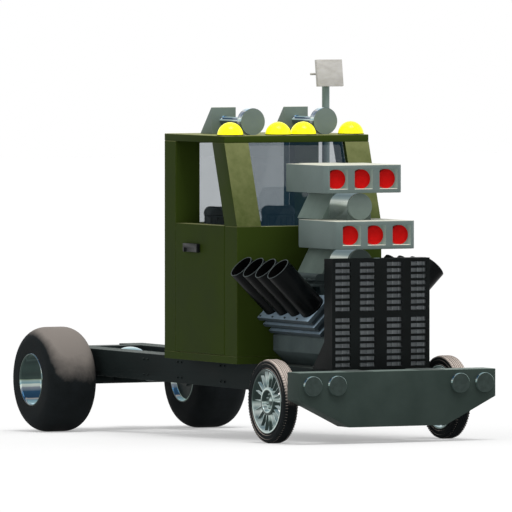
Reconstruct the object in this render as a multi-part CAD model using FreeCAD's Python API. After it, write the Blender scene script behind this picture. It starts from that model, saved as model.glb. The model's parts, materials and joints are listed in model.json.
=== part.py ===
import FreeCAD, Part
import math
import os

# Semi truck tractor unit in the hot rod manner. All sizes are in millimetres.
# The truck is drawn level, with its origin at the middle of the rear axle:
# X to its left, Y to its rear, Z up. At the end it is tipped nose down onto its
# smaller front wheels, and the bottom centre of its box becomes the origin.

V = FreeCAD.Vector

# Clearances
pin_clearance = 0.05
face_gap = 0.3
running_gap = 6.0

# Rear wheels and axle
rear_tyre_radius = 562.0
rear_tyre_width = 570.0
rear_tyre_gap = 66.0
rear_tyre_section = 282.0
rear_crown_half = 90.0
rear_shoulder_drop = 162.0
rim_wall = 12.0
rear_axle_radius = 60.0
rear_axle_inset = 19.0
rear_spindle_radius = 35.0
rear_spindle_length = 150.0
rear_hub_radius = 110.0
rear_disc_inset = 60.0
rear_disc_thickness = 20.0
differential_radius = 250.0
differential_lift = 78.0
differential_above_tube = 20.0
nose_radius = 55.0
nose_reach = 420.0

# Front wheels, axle and steering
wheelbase = 5318.0
front_tyre_radius = 430.0
front_tyre_width = 156.0
front_tyre_x = 1002.0
front_tyre_section = 102.0
front_shoulder = 40.0
front_hub_radius = 143.0
front_hub_length = 72.0
front_hub_inset = 8.0
front_recess_radius = 108.0
front_recess_depth = 49.0
front_boss_radius = 70.0
spoke_count = 20
spoke_thickness = 16.0
spoke_depth = 50.0
beam_height = 60.0
beam_depth = 80.0
beam_z = -10.0
saddle_length = 160.0
kingpin_inset = 182.0
kingpin_radius = 22.0
eye_radius = 50.0
ear_height = 40.0
web_thickness = 30.0
web_clearance = 5.0
spindle_radius = 30.0
arm_reach = 160.0
arm_width = 36.0
arm_thickness = 20.0
tie_pin_radius = 10.0
tie_pin_head = 4.0
tie_eye_radius = 24.0
tie_eye_height = 22.0
tie_rod_radius = 10.0
tie_open_clearance = 2.0

# Frame
rail_outer_x = 555.0
rail_width = 280.0
rail_height = 283.0
axle_seat = 14.0
rail_wall = 16.0
rail_rear = 825.0
member_height = 100.0
member_length = 100.0
tow_member_gap = 25.0
tow_member_length = 241.0
second_member_y = -1500.0
third_member_behind_cab = 220.0
fourth_member_behind_screen = 899.0
front_member_behind_radiator = 88.0
tow_circle = 160.0
tow_hole_radius = 8.5
tow_hole_depth = 60.0
tow_hole_count = 4

# Bumper and its lamps
bumper_half = 1129.0
bumper_clearance = 134.0
bumper_depth = 284.0
bumper_top = 327.0
bumper_side_bottom = 46.0
bumper_bottom = -240.0
bumper_bottom_half = 555.0
bumper_plate = 20.0
bumper_lamp_radius = 100.0
bumper_lamp_depth = 37.0
bumper_lamp_drop = 137.0
bumper_lamp_inset = 137.0
bumper_lamp_pitch = 283.0

# Radiator
radiator_half = 564.0
radiator_ahead_of_axle = 470.0
radiator_depth = 179.0
radiator_top = 1463.0
radiator_wall = 20.0
slot_width = 177.0
slot_height = 40.0
slot_pitch = 65.2
slot_margin = 38.0
slot_side = 127.0
slot_column_pitch = 280.0
core_depth = 90.0
foot_height = 281.0
foot_reach = 259.0

# Engine
engine_ahead_of_axle = 45.0
engine_margin = 45.0
block_half = 436.0
block_corner_z = 625.0
block_taper_z = 469.0
block_seat = 10.0
pan_half = 230.0
pan_bottom = 130.0
pan_inset = 110.0
bank_angle = 45.0
bank_half = 183.0
fin_over = 4.0
fin_thickness = 40.0
fin_pitch = 95.0
fin_count = 3
fin_core_half = 150.0
fin_foot = 34.0
pipe_radius = 136.0
pipe_wall = 9.0
pipe_length = 580.0
pipe_gap = 3.0
pipe_count = 4
pipe_floor = 40.0
pipe_row_shift = -25.0

# Intake, blowers and scoops, stacked upwards
plenum_half = 250.0
plate_half = 330.0
plate_thickness = 20.0
plenum_height = 262.2
rib_height = 38.0
rib_length = 200.0
rib_half = 310.0
base_half = 300.0
base_height = 53.0
base_round = 48.0
blower_inset = 137.0
blower_length = 552.0
blower_top_half = 76.0
blower_bottom_half = 227.0
lower_blower_height = 277.0
upper_blower_height = 281.0
scoop_side = 60.0
scoop_wall = 41.5
scoop_length = 867.0
scoop_chamfer = 39.0
lower_scoop_reach = 1341.0
upper_scoop_reach = 1054.0
neck_half = 212.0
pocket_width = 208.0
pocket_height = 204.0
pocket_depth = 112.0
pocket_gap = 80.0
butterfly_clearance = 5.0
butterfly_thickness = 50.0
butterfly_inset = 46.0
butterfly_stub_radius = 20.0
drive_radius = 137.0
drive_length = 395.0
drive_cover = 26.0
lower_drive_margin = 14.0
upper_drive_margin = 5.0

# Gearbox and propeller shaft
gearbox_length = 720.0
gearbox_half = 190.0
gearbox_drop = 19.0
gearbox_height = 270.0
gearbox_tail_half = 110.0
gearbox_tail_step = 40.0
shaft_radius = 45.0

# Cab
cab_half = 845.0
cab_behind_engine = 19.0
cab_length = 1679.0
floor_thickness = 76.0
sill_z = 1753.0
roof_underside = 2612.0
roof_thickness = 75.0
screen_run = 290.0
post_width = 280.0
post_depth = 280.0
rear_wall_thickness = 260.0
cowl_thickness = 120.0
rear_window_half = 560.0
rear_window_drop = 22.0
glass_thickness = 8.0
glass_inset = 60.0

# Doors
door_thickness = 160.0
door_bevel = 30.0
hinge_inset = 20.0
hinge_pin_radius = 9.0
hinge_pin_depth = 60.0
lug_thickness = 12.0
lug_radius = 18.0
lug_root = 10.0
handle_inset = 238.0
handle_length = 325.0
handle_drop = 202.0
handle_height = 90.0
handle_stand = 40.0
grip_inset = 30.0
grip_depth = 20.0

# Inside the cab
dash_top = 1500.0
dash_height = 260.0
dash_depth = 240.0
seat_x = 336.0
seat_width = 450.0
seat_back_thickness = 103.0
seat_back_top = 1960.0
seat_corner = 90.0
cushion_top = 900.0
cushion_thickness = 130.0
cushion_length = 480.0
seat_box_width = 360.0
seat_box_length = 400.0
column_radius = 25.0
column_length = 260.0
column_angle = 35.0
wheel_ring_radius = 205.0
wheel_grip_radius = 15.0
wheel_spoke_radius = 10.0
wheel_hub_radius = 45.0
wheel_hub_length = 40.0

# Roof lamps and horns
roof_lamp_radius = 138.0
roof_lamp_inset = 139.0
roof_lamp_edge = 1.0
roof_lamp_half_gap = 9.0
horn_gap = 1.5
horn_inset = 169.0
horn_length = 668.0
horn_lip = 95.0
horn_flare_length = 66.0
horn_tube_radius = 42.0
horn_box_width = 282.0
horn_box_height = 280.0
horn_box_depth = 275.0
horn_box_top = 20.0

# Mast
mast_stand = 110.0
mast_inset = 207.0
mast_radius = 40.0
mast_bottom = 420.0
mast_head_rise = 613.0
mast_head_radius = 30.0
mast_head_half = 50.0
bracket_height = 40.0
bracket_half = 50.0
lower_bracket_z = 700.0
middle_bracket_z = 1550.0
panel_width = 305.0
panel_height = 283.0
panel_thickness = 40.0
panel_stand = 20.0
panel_lean = 8.0
panel_pin_radius = 12.0
panel_pin_over = 30.0
ear_thickness = 15.0
ear_half_height = 24.0
ear_wall = 8.0

along_x = V(1, 0, 0)
along_y = V(0, 1, 0)
up = V(0, 0, 1)

# Worked out from the sizes above: wheels and frame
front_axle_y = -wheelbase
rake = math.degrees(math.asin((rear_tyre_radius - front_tyre_radius) / wheelbase))
rail_inner_x = rail_outer_x - rail_width
rail_bottom = rear_axle_radius - axle_seat
rail_top = rail_bottom + rail_height
rear_tyre_inner_x = rail_outer_x + rear_tyre_gap
rear_tyre_x = rear_tyre_inner_x + rear_tyre_width / 2
rear_axle_end = rear_tyre_inner_x + rear_axle_inset
rear_rim_radius = rear_tyre_radius - rear_tyre_section
front_rim_radius = front_tyre_radius - front_tyre_section
kingpin_x = front_tyre_x - kingpin_inset
bumper_rear = front_axle_y - front_tyre_radius - bumper_clearance
bumper_front = bumper_rear - bumper_depth
bumper_lamp_outer_x = bumper_half - bumper_lamp_inset
bumper_lamp_inner_x = bumper_lamp_outer_x - bumper_lamp_pitch
bumper_lamp_z = bumper_top - bumper_lamp_drop
rail_front = bumper_front + bumper_plate

# Radiator and engine
radiator_front = front_axle_y - radiator_ahead_of_axle
radiator_rear = radiator_front + radiator_depth
radiator_half_height = (radiator_top - rail_top) / 2
slot_rows = int((radiator_half_height - slot_margin) / slot_pitch)
slot_outer_x = radiator_half - slot_side
slot_inner_x = slot_outer_x - slot_column_pitch
pipe_pitch = 2 * pipe_radius + pipe_gap
engine_front = front_axle_y - engine_ahead_of_axle
engine_rear = engine_front + pipe_count * pipe_pitch + engine_margin
gearbox_top = rail_top - gearbox_drop
gearbox_bottom = gearbox_top - gearbox_height
fin_half = bank_half + fin_over
fin_stack_height = fin_foot + fin_thickness + (fin_count - 1) * fin_pitch
bank_turn = math.radians(bank_angle)
bank_out = V(math.sin(bank_turn), 0, math.cos(bank_turn))
bank_down = V(math.cos(bank_turn), 0, -math.sin(bank_turn))
deck_corner = V(block_half, 0, block_corner_z)
deck_middle = deck_corner - bank_down * bank_half
deck_inner = deck_corner - bank_down * (2 * bank_half)
pipe_seat = deck_middle + bank_out * fin_stack_height

# Intake, blowers and scoops
blower_rear = engine_rear - blower_inset
blower_front = blower_rear - blower_length
lower_scoop_front = blower_rear - lower_scoop_reach
upper_scoop_front = blower_rear - upper_scoop_reach
pocket_pitch = pocket_width + pocket_gap
scoop_half = pocket_pitch + pocket_width / 2 + scoop_side
scoop_height = pocket_height + 2 * scoop_wall
butterfly_radius = pocket_width / 2 - butterfly_clearance
lower_drive_rise = lower_blower_height - drive_radius - lower_drive_margin
upper_drive_rise = upper_blower_height - drive_radius - upper_drive_margin
lower_plate_z = deck_inner.z + plenum_height
upper_plate_z = lower_plate_z + plate_thickness + rib_height
lower_blower_z = upper_plate_z + plate_thickness + base_height
lower_scoop_z = lower_blower_z + lower_blower_height
upper_blower_z = lower_scoop_z + scoop_height
upper_scoop_z = upper_blower_z + upper_blower_height

# Cab, doors and roof
cab_front = engine_rear + cab_behind_engine
cab_rear = cab_front + cab_length
floor_top = rail_top + floor_thickness
roof_top = roof_underside + roof_thickness
roof_front = cab_front + screen_run
rear_window_top = roof_underside - rear_window_drop
wall_front = cab_rear - rear_wall_thickness
bare_rail_front = cab_rear + running_gap
post_inner_x = cab_half - post_width
cowl_rear = cab_front + cowl_thickness
door_front = cab_front + post_depth + running_gap
door_rear = wall_front - running_gap
door_bottom = floor_top + running_gap
hinge_x = cab_half - hinge_inset
hinge_y = door_front + hinge_inset
roof_lamp_outer_x = cab_half - roof_lamp_edge - roof_lamp_radius
roof_lamp_inner_x = roof_lamp_half_gap + roof_lamp_radius
horn_radius = (roof_lamp_outer_x - roof_lamp_inner_x) / 2 - roof_lamp_radius - horn_gap
horn_x = roof_lamp_inner_x + roof_lamp_radius + horn_radius
tow_member_front = differential_radius + tow_member_gap
tow_member_rear = tow_member_front + tow_member_length
member_places = (second_member_y, cab_rear + third_member_behind_cab,
                 cab_front + fourth_member_behind_screen, radiator_front + front_member_behind_radiator)


# Shapes that are used again and again

def box(x0, x1, y0, y1, z0, z1):
    return Part.makeBox(x1 - x0, y1 - y0, z1 - z0, V(x0, y0, z0))


def rod(radius, length, start, direction):
    return Part.makeCylinder(radius, length, start, direction)


def outline(points):
    return Part.Face(Part.makePolygon(points + [points[0]]))


def drawn_y(points, y0, y1):
    """An outline in X and Z, drawn out along Y."""
    return outline([V(x, y0, z) for x, z in points]).extrude(V(0, y1 - y0, 0))


def drawn_x(points, x0, x1):
    """An outline in Y and Z, drawn out along X."""
    return outline([V(x0, y, z) for y, z in points]).extrude(V(x1 - x0, 0, 0))


def turned(edges):
    """A closed outline of lines and arcs in X and Y, turned about the X axis."""
    section = Part.Face(Part.Wire([edge.toShape() for edge in edges]))
    return section.revolve(V(0, 0, 0), along_x, 360)


def join(shapes):
    return shapes[0].multiFuse(shapes[1:]).removeSplitter()


def mirrored(shape):
    return shape.mirror(V(0, 0, 0), along_x)


def both_sides(shape):
    return Part.Compound([mirrored(shape), shape])


# Wheels. Each is drawn on the truck's left, where X is positive.

def tyre(centre_x, width, outer, bead, crown_half, shoulder_drop):
    """A flat crown and round shoulders, turned about the axle."""
    half = width / 2
    side = outer - shoulder_drop
    middle = math.sqrt(0.5)

    def at(x, radius):
        return V(centre_x + x, radius, 0)

    def shoulder(sign):
        knee = at(sign * (crown_half + (half - crown_half) * middle), side + shoulder_drop * middle)
        return Part.Arc(at(sign * half, side), knee, at(sign * crown_half, outer))

    return turned([
        Part.LineSegment(at(-half, bead), at(-half, side)),
        shoulder(-1),
        Part.LineSegment(at(-crown_half, outer), at(crown_half, outer)),
        shoulder(1),
        Part.LineSegment(at(half, side), at(half, bead)),
        Part.LineSegment(at(half, bead), at(-half, bead)),
    ])


def rear_tyre():
    return tyre(rear_tyre_x, rear_tyre_width, rear_tyre_radius, rear_rim_radius + face_gap,
                rear_crown_half, rear_shoulder_drop)


def front_tyre():
    ring = tyre(front_tyre_x, front_tyre_width, front_tyre_radius, front_rim_radius + face_gap,
                front_tyre_width / 2 - front_shoulder, front_shoulder)
    ring.translate(V(0, front_axle_y, 0))
    return ring


def barrel(radius, x0, x1, axle_y):
    start = V(x0, axle_y, 0)
    hollow = rod(radius - rim_wall, x1 - x0, start, along_x)
    return rod(radius, x1 - x0, start, along_x).cut(hollow)


def rear_rim():
    inside = rear_tyre_inner_x
    hub_x = rear_axle_end + 2 * running_gap
    disc = rod(rear_rim_radius - rim_wall / 2, rear_disc_thickness,
               V(inside + rear_disc_inset, 0, 0), along_x)
    hub = rod(rear_hub_radius, rear_spindle_length, V(hub_x, 0, 0), along_x)
    bore = rod(rear_spindle_radius + pin_clearance, rear_spindle_length - running_gap,
               V(hub_x, 0, 0), along_x)
    return join([barrel(rear_rim_radius, inside, inside + rear_tyre_width, 0), disc, hub]).cut(bore)


front_rim_inside = front_tyre_x - front_tyre_width / 2
front_rim_outside = front_tyre_x + front_tyre_width / 2
front_hub_outside = front_rim_outside - front_hub_inset
front_hub_inside = front_hub_outside - front_hub_length
web_x = kingpin_x + eye_radius + web_clearance
web_outside = web_x + web_thickness


def front_rim():
    centre = V(0, front_axle_y, 0)
    boss_x = web_outside + running_gap
    boss_length = front_hub_inside - boss_x
    hub = rod(front_hub_radius, front_hub_length, V(front_hub_inside, front_axle_y, 0), along_x)
    recess = rod(front_recess_radius, front_recess_depth,
                 V(front_hub_outside - front_recess_depth, front_axle_y, 0), along_x)
    boss = rod(front_boss_radius, boss_length, V(boss_x, front_axle_y, 0), along_x)
    bore = rod(spindle_radius + pin_clearance, boss_length, V(boss_x, front_axle_y, 0), along_x)
    pieces = [barrel(front_rim_radius, front_rim_inside, front_rim_outside, front_axle_y), hub, boss]
    for number in range(spoke_count):
        spoke = box(front_hub_inside, front_hub_inside + spoke_depth,
                    front_axle_y - spoke_thickness / 2, front_axle_y + spoke_thickness / 2,
                    front_hub_radius - rim_wall, front_rim_radius - rim_wall / 2)
        spoke.rotate(centre, along_x, 360.0 * number / spoke_count)
        pieces.append(spoke)
    return join(pieces).cut(recess).cut(bore)


# Gearbox behind the engine, propeller shaft, and rear axle with its domed differential

gearbox_tail = V(0, engine_rear + gearbox_length, (gearbox_bottom + gearbox_top) / 2)
shaft_line = V(gearbox_tail).normalize() * -1


def driveline():
    step_y = engine_rear + pan_inset
    bell = box(-gearbox_half, gearbox_half, engine_rear - pan_inset, step_y, gearbox_bottom, gearbox_top)
    tail = box(-gearbox_tail_half, gearbox_tail_half, step_y, gearbox_tail.y,
               gearbox_bottom + gearbox_tail_step, gearbox_top - gearbox_tail_step)
    length = gearbox_tail.Length - nose_reach - face_gap
    shaft = rod(shaft_radius, length + gearbox_tail_step, gearbox_tail - shaft_line * gearbox_tail_step,
                shaft_line)
    return join([bell, tail, shaft])


def rear_axle():
    tube = rod(rear_axle_radius, 2 * rear_axle_end, V(-rear_axle_end, 0, 0), along_x)
    reach = rear_axle_end + rear_spindle_length
    spindles = rod(rear_spindle_radius, 2 * reach, V(-reach, 0, 0), along_x)
    underside = box(-differential_radius, differential_radius, -differential_radius, differential_radius,
                    -differential_radius, differential_above_tube - rear_axle_radius)
    differential = Part.makeSphere(differential_radius, V(0, 0, differential_lift)).cut(underside)
    nose = rod(nose_radius, nose_reach, shaft_line * -nose_reach, shaft_line)
    return join([tube, spindles, differential, nose])


# Front axle: a beam with an eye at each end, and a knuckle on a kingpin in each eye

beam_bottom = beam_z - beam_height / 2
beam_top = beam_z + beam_height / 2
upper_ear_z = beam_top + running_gap
lower_ear_z = beam_bottom - running_gap - ear_height
ear_top = upper_ear_z + ear_height
tie_pin_y = front_axle_y + arm_reach
tie_z = lower_ear_z + arm_thickness + face_gap


def front_axle():
    beam = box(-kingpin_x, kingpin_x, front_axle_y - beam_depth / 2, front_axle_y + beam_depth / 2,
               beam_bottom, beam_top)
    saddle = box(rail_inner_x, rail_outer_x, front_axle_y - saddle_length / 2,
                 front_axle_y + saddle_length / 2, beam_top, rail_bottom)
    foot = V(kingpin_x, front_axle_y, beam_bottom)
    eye = rod(eye_radius, beam_height, foot, up)
    bore = rod(kingpin_radius + pin_clearance, beam_height, foot, up)
    whole = join([beam, saddle, mirrored(saddle), eye, mirrored(eye)])
    return whole.cut(bore).cut(mirrored(bore))


def knuckle():
    side = (front_axle_y - eye_radius, front_axle_y + eye_radius)
    pieces = [
        rod(kingpin_radius, ear_top - lower_ear_z, V(kingpin_x, front_axle_y, lower_ear_z), up),
        box(web_x, web_outside, *side, lower_ear_z, ear_top),
        rod(spindle_radius, front_hub_inside - web_x - running_gap, V(web_x, front_axle_y, 0), along_x),
        box(kingpin_x - arm_width / 2, kingpin_x + arm_width / 2, front_axle_y, tie_pin_y,
            lower_ear_z, lower_ear_z + arm_thickness),
        rod(arm_width / 2, arm_thickness, V(kingpin_x, tie_pin_y, lower_ear_z), up),
        rod(tie_pin_radius, arm_thickness + face_gap + tie_eye_height + tie_pin_head,
            V(kingpin_x, tie_pin_y, lower_ear_z), up),
    ]
    for z in (lower_ear_z, upper_ear_z):
        pieces.append(rod(eye_radius, ear_height, V(kingpin_x, front_axle_y, z), up))
        pieces.append(box(kingpin_x, web_outside, *side, z, z + ear_height))
    return join(pieces)


def tie_rod():
    """Held at the right arm's pin. The left eye is bored wide, because the linkage is open there."""
    tube = rod(tie_rod_radius, 2 * kingpin_x, V(-kingpin_x, tie_pin_y, tie_z + tie_eye_height / 2), along_x)
    left = V(kingpin_x, tie_pin_y, tie_z)
    right = V(-kingpin_x, tie_pin_y, tie_z)
    whole = join([tube, rod(tie_eye_radius, tie_eye_height, left, up),
                  rod(tie_eye_radius, tie_eye_height, right, up)])
    whole = whole.cut(rod(tie_pin_radius + pin_clearance, tie_eye_height, right, up))
    return whole.cut(rod(tie_pin_radius + tie_open_clearance, tie_eye_height, left, up))


# Frame: two box rails, notched for the rear axle, and the members between them

def rail():
    """Two lengths that meet behind the cab, so that the bare top there is a face of its own."""
    front = box(rail_inner_x, rail_outer_x, rail_front, bare_rail_front, rail_bottom, rail_top)
    rear = box(rail_inner_x, rail_outer_x, bare_rail_front, rail_rear, rail_bottom, rail_top)
    inner = box(rail_inner_x + rail_wall, rail_outer_x - rail_wall, rail_front, rail_rear,
                rail_bottom + rail_wall, rail_top - rail_wall)
    notch = rod(rear_axle_radius + face_gap, rail_width, V(rail_inner_x, 0, 0), along_x)
    return front.fuse(rear).cut(inner).cut(notch)


tow_centre = V(0, tow_member_rear, (rail_top + rail_bottom) / 2)


def crossmembers():
    tunnel = rod(shaft_radius + running_gap, gearbox_tail.Length, gearbox_tail, shaft_line)
    members = [box(-rail_inner_x, rail_inner_x, y - member_length / 2, y + member_length / 2,
                   rail_top - member_height, rail_top).cut(tunnel) for y in member_places]
    hollow = box(-rail_inner_x, rail_inner_x, tow_member_front + rail_wall, tow_member_rear - member_length,
                 rail_bottom + rail_wall, rail_top - rail_wall)
    tow_member = box(-rail_inner_x, rail_inner_x, tow_member_front, tow_member_rear,
                     rail_bottom, rail_top).cut(hollow)
    for number in range(tow_hole_count):
        turn = 2 * math.pi * (number + 0.5) / tow_hole_count
        reach = V(math.cos(turn), 0, math.sin(turn)) * (tow_circle / 2)
        tow_member = tow_member.cut(rod(tow_hole_radius, tow_hole_depth,
                                        tow_centre + reach - along_y * tow_hole_depth, along_y))
    return Part.Compound(members + [tow_member])


# Bumper: a deep folded plate, open at the back, on the rails' noses

def bumper_outline(inset):
    slope = math.atan2(bumper_side_bottom - bumper_bottom, bumper_half - bumper_bottom_half)
    low = bumper_bottom_half - inset * math.tan(slope / 2)
    side = bumper_side_bottom + inset * math.tan((math.pi / 2 - slope) / 2)
    half = bumper_half - inset
    top = bumper_top - inset
    bottom = bumper_bottom + inset
    return [(-half, top), (half, top), (half, side), (low, bottom), (-low, bottom), (-half, side)]


def bumper():
    outer = drawn_y(bumper_outline(0), bumper_front, bumper_rear)
    hollow = drawn_y(bumper_outline(bumper_plate), rail_front, bumper_rear)
    slot = box(rail_inner_x - face_gap, rail_outer_x + face_gap, rail_front, bumper_rear,
               rail_bottom, bumper_top)
    return outer.cut(hollow).cut(slot).cut(mirrored(slot))


def bumper_lamps():
    lamps = [rod(bumper_lamp_radius, bumper_lamp_depth,
                 V(x, bumper_front - bumper_lamp_depth, bumper_lamp_z), along_y)
             for x in (bumper_lamp_inner_x, bumper_lamp_outer_x)]
    return both_sides(Part.Compound(lamps))


# Radiator shell with its slots, the core behind them, and its feet on the rails

def radiator_shell():
    wall = radiator_wall
    outer = box(-radiator_half, radiator_half, radiator_front, radiator_rear, rail_top, radiator_top)
    inner = box(-radiator_half + wall, radiator_half - wall, radiator_front + wall, radiator_rear,
                rail_top + wall, radiator_top - wall)
    slots = []
    for centre in (-slot_outer_x, -slot_inner_x, slot_inner_x, slot_outer_x):
        for drop in (slot_margin, radiator_half_height + slot_height):
            for row in range(slot_rows):
                top = radiator_top - drop - row * slot_pitch
                slots.append(box(centre - slot_width / 2, centre + slot_width / 2, radiator_front,
                                 radiator_front + wall, top - slot_height, top))
    shell = outer.cut(inner).cut(Part.Compound(slots))
    foot = drawn_x([(radiator_rear, rail_top), (radiator_rear + foot_reach, rail_top),
                    (radiator_rear, rail_top + foot_height)], radiator_half - wall, radiator_half)
    return join([shell, foot, mirrored(foot)])


def radiator_core():
    wall = radiator_wall
    half = radiator_half - wall - face_gap
    return box(-half, half, radiator_front + wall + face_gap, radiator_front + wall + core_depth,
               rail_top + wall, radiator_top - wall - face_gap)


# Engine: a vee block seated on the rails, with three wide fins on each bank and four pipes a side

def engine_block():
    seat = rail_inner_x + block_seat
    half = [(seat, rail_top), (block_half, block_taper_z), (block_half, block_corner_z),
            (deck_inner.x, deck_inner.z)]
    other = [(-x, z) for x, z in reversed(half)]
    upper = drawn_y(half + other, engine_front, engine_rear)
    pan = box(-pan_half, pan_half, engine_front + pan_inset, engine_rear - pan_inset,
              pan_bottom, rail_top)
    return join([upper, pan])


def bank_slab(centre, half_width, height, y0, y1):
    """A slab across the left bank: the centre of its inner face, then its height outward."""
    inner_edge = centre - bank_down * half_width
    outer_edge = centre + bank_down * half_width
    corners = [inner_edge, outer_edge, outer_edge + bank_out * height, inner_edge + bank_out * height]
    return drawn_y([(corner.x, corner.z) for corner in corners], y0, y1)


def cylinder_bank():
    pieces = [bank_slab(deck_middle, fin_core_half, fin_stack_height - fin_thickness / 2,
                        engine_front + fin_thickness, engine_rear - fin_thickness)]
    for number in range(fin_count):
        inner = pipe_seat - bank_out * (fin_thickness + number * fin_pitch)
        pieces.append(bank_slab(inner, fin_half, fin_thickness, engine_front, engine_rear))
    return join(pieces)


def exhaust_pipes():
    middle = (engine_front + engine_rear) / 2 + pipe_row_shift
    pipes = []
    for number in range(pipe_count):
        foot = pipe_seat + along_y * (middle + (number - (pipe_count - 1) / 2) * pipe_pitch)
        bore = rod(pipe_radius - pipe_wall, pipe_length, foot + bank_out * pipe_floor, bank_out)
        pipes.append(rod(pipe_radius, pipe_length, foot, bank_out).cut(bore))
    return Part.Compound(pipes)


def intake_manifold():
    """A plenum in the vee, two plates with ribs between them, and a round-edged base on top."""
    plenum = drawn_y([(-deck_inner.x, deck_inner.z), (deck_inner.x, deck_inner.z),
                      (plenum_half, lower_plate_z), (-plenum_half, lower_plate_z)],
                     blower_front, blower_rear)
    base = box(-base_half, base_half, blower_front, blower_rear,
               upper_plate_z + plate_thickness, lower_blower_z)
    edges = [edge for edge in base.Edges
             if abs(edge.CenterOfMass.x) > base_half - 1 and edge.CenterOfMass.z > lower_blower_z - 1]
    pieces = [plenum, base.makeFillet(base_round, edges)]
    for z in (lower_plate_z, upper_plate_z):
        pieces.append(box(-plate_half, plate_half, blower_front, blower_rear, z, z + plate_thickness))
    for start in (blower_front + plate_thickness, blower_rear - plate_thickness - rib_length):
        pieces.append(box(-rib_half, rib_half, start, start + rib_length,
                          lower_plate_z + plate_thickness, upper_plate_z))
    return join(pieces)


def blower(bottom, height):
    top = bottom + height
    return drawn_y([(-blower_bottom_half, bottom), (blower_bottom_half, bottom),
                    (blower_top_half, top), (-blower_top_half, top)], blower_front, blower_rear)


def blower_drive(bottom, rise):
    """The drive housing: an arch in section, with a round cover on its front."""
    start = blower_front - drive_length
    centre_z = bottom + rise
    arch = rod(drive_radius, drive_length, V(0, start, centre_z), along_y)
    legs = box(-drive_radius, drive_radius, start, blower_front, bottom, centre_z)
    cover = rod(drive_radius, drive_cover, V(0, start - drive_cover, centre_z), along_y)
    return join([arch, legs, cover])


def scoop(front, bottom):
    """A flat box with three pockets in its front, and a narrow neck to the blower's rear."""
    rear = front + scoop_length
    edge = scoop_half - scoop_chamfer
    plan = [(-scoop_half, rear), (-scoop_half, front + scoop_chamfer), (-edge, front),
            (edge, front), (scoop_half, front + scoop_chamfer), (scoop_half, rear)]
    body = outline([V(x, y, bottom) for x, y in plan]).extrude(up * scoop_height)
    neck = box(-neck_half, neck_half, rear, blower_rear, bottom, bottom + scoop_height)
    low = bottom + (scoop_height - pocket_height) / 2
    pockets = [box(x - pocket_width / 2, x + pocket_width / 2, front, front + pocket_depth,
                   low, low + pocket_height) for x in (-pocket_pitch, 0, pocket_pitch)]
    return join([body, neck]).cut(Part.Compound(pockets))


def butterflies(front, bottom):
    discs = []
    for x in (-pocket_pitch, 0, pocket_pitch):
        centre = V(x, front + butterfly_inset, bottom + scoop_height / 2)
        discs.append(join([rod(butterfly_radius, butterfly_thickness, centre, along_y),
                           rod(butterfly_stub_radius, pocket_depth - butterfly_inset, centre, along_y)]))
    return Part.Compound(discs)


# Cab: floor, cowl, windscreen posts, rear wall, roof and two half doors

def cab_floor():
    slab = box(-cab_half, cab_half, cab_front, cab_rear, rail_top, floor_top)
    pin = rod(hinge_pin_radius, running_gap + hinge_pin_depth, V(hinge_x, hinge_y, floor_top), up)
    rear = wall_front - 2 * running_gap
    seat_box = box(seat_x - seat_box_width / 2, seat_x + seat_box_width / 2, rear - seat_box_length, rear,
                   floor_top, cushion_top - cushion_thickness - face_gap)
    return join([slab, pin, mirrored(pin), seat_box, mirrored(seat_box)])


def cab_cowl():
    """The wall behind the engine, the posts at its ends and the dashboard on it."""
    wall = box(-cab_half, cab_half, cab_front, cowl_rear, floor_top, sill_z)
    post = box(post_inner_x, cab_half, cab_front, cab_front + post_depth, floor_top, sill_z)
    dash = box(-post_inner_x, post_inner_x, cowl_rear, cowl_rear + dash_depth,
               dash_top - dash_height, dash_top)
    return join([wall, post, mirrored(post), dash])


def upper_hinge():
    """A lug from the windscreen post, with a pin down into the door."""
    bottom = sill_z + running_gap
    root = cab_front + post_depth - lug_root
    lug = box(hinge_x - lug_radius, hinge_x + hinge_inset, root, hinge_y, bottom, bottom + lug_thickness)
    tip = rod(lug_radius, lug_thickness, V(hinge_x, hinge_y, bottom), up)
    pin = rod(hinge_pin_radius, running_gap + hinge_pin_depth,
              V(hinge_x, hinge_y, sill_z - hinge_pin_depth), up)
    return join([lug, tip, pin])


def windscreen_post():
    post = drawn_x([(cab_front, sill_z), (cab_front + post_depth, sill_z),
                    (roof_front + post_depth, roof_underside), (roof_front, roof_underside)],
                   post_inner_x, cab_half)
    return join([post, upper_hinge()])


def cab_rear_wall():
    wall = box(-cab_half, cab_half, wall_front, cab_rear, floor_top, roof_underside)
    return wall.cut(box(-rear_window_half, rear_window_half, wall_front, cab_rear,
                        sill_z, rear_window_top))


def cab_roof():
    return box(-cab_half, cab_half, roof_front, cab_rear, roof_underside, roof_top)


def door():
    """Its rear face is bevelled inwards, so that the inner corner swings past the cab's rear wall."""
    inside = cab_half - door_thickness
    plan = [(inside, door_front), (cab_half, door_front), (cab_half, door_rear),
            (inside, door_rear - door_bevel)]
    slab = outline([V(x, y, door_bottom) for x, y in plan]).extrude(up * (sill_z - door_bottom))
    corner = box(hinge_x, cab_half, door_front, hinge_y, door_bottom, sill_z)
    knuckle_edge = rod(hinge_inset, sill_z - door_bottom, V(hinge_x, hinge_y, door_bottom), up)
    bore = hinge_pin_radius + pin_clearance
    depth = hinge_pin_depth + running_gap
    slab = slab.cut(corner.cut(knuckle_edge))
    slab = slab.cut(rod(bore, depth, V(hinge_x, hinge_y, door_bottom), up))
    return slab.cut(rod(bore, depth, V(hinge_x, hinge_y, sill_z - depth), up))


def door_handle():
    rear = door_rear - handle_inset
    front = rear - handle_length
    top = sill_z - handle_drop
    bottom = top - handle_height
    outside = cab_half + handle_stand
    base = box(cab_half, outside, front, rear, bottom, top)
    grip = box(outside - grip_depth, outside, front + grip_inset, rear - grip_inset,
               bottom, bottom + handle_height / 2)
    return base.cut(grip)


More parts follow.
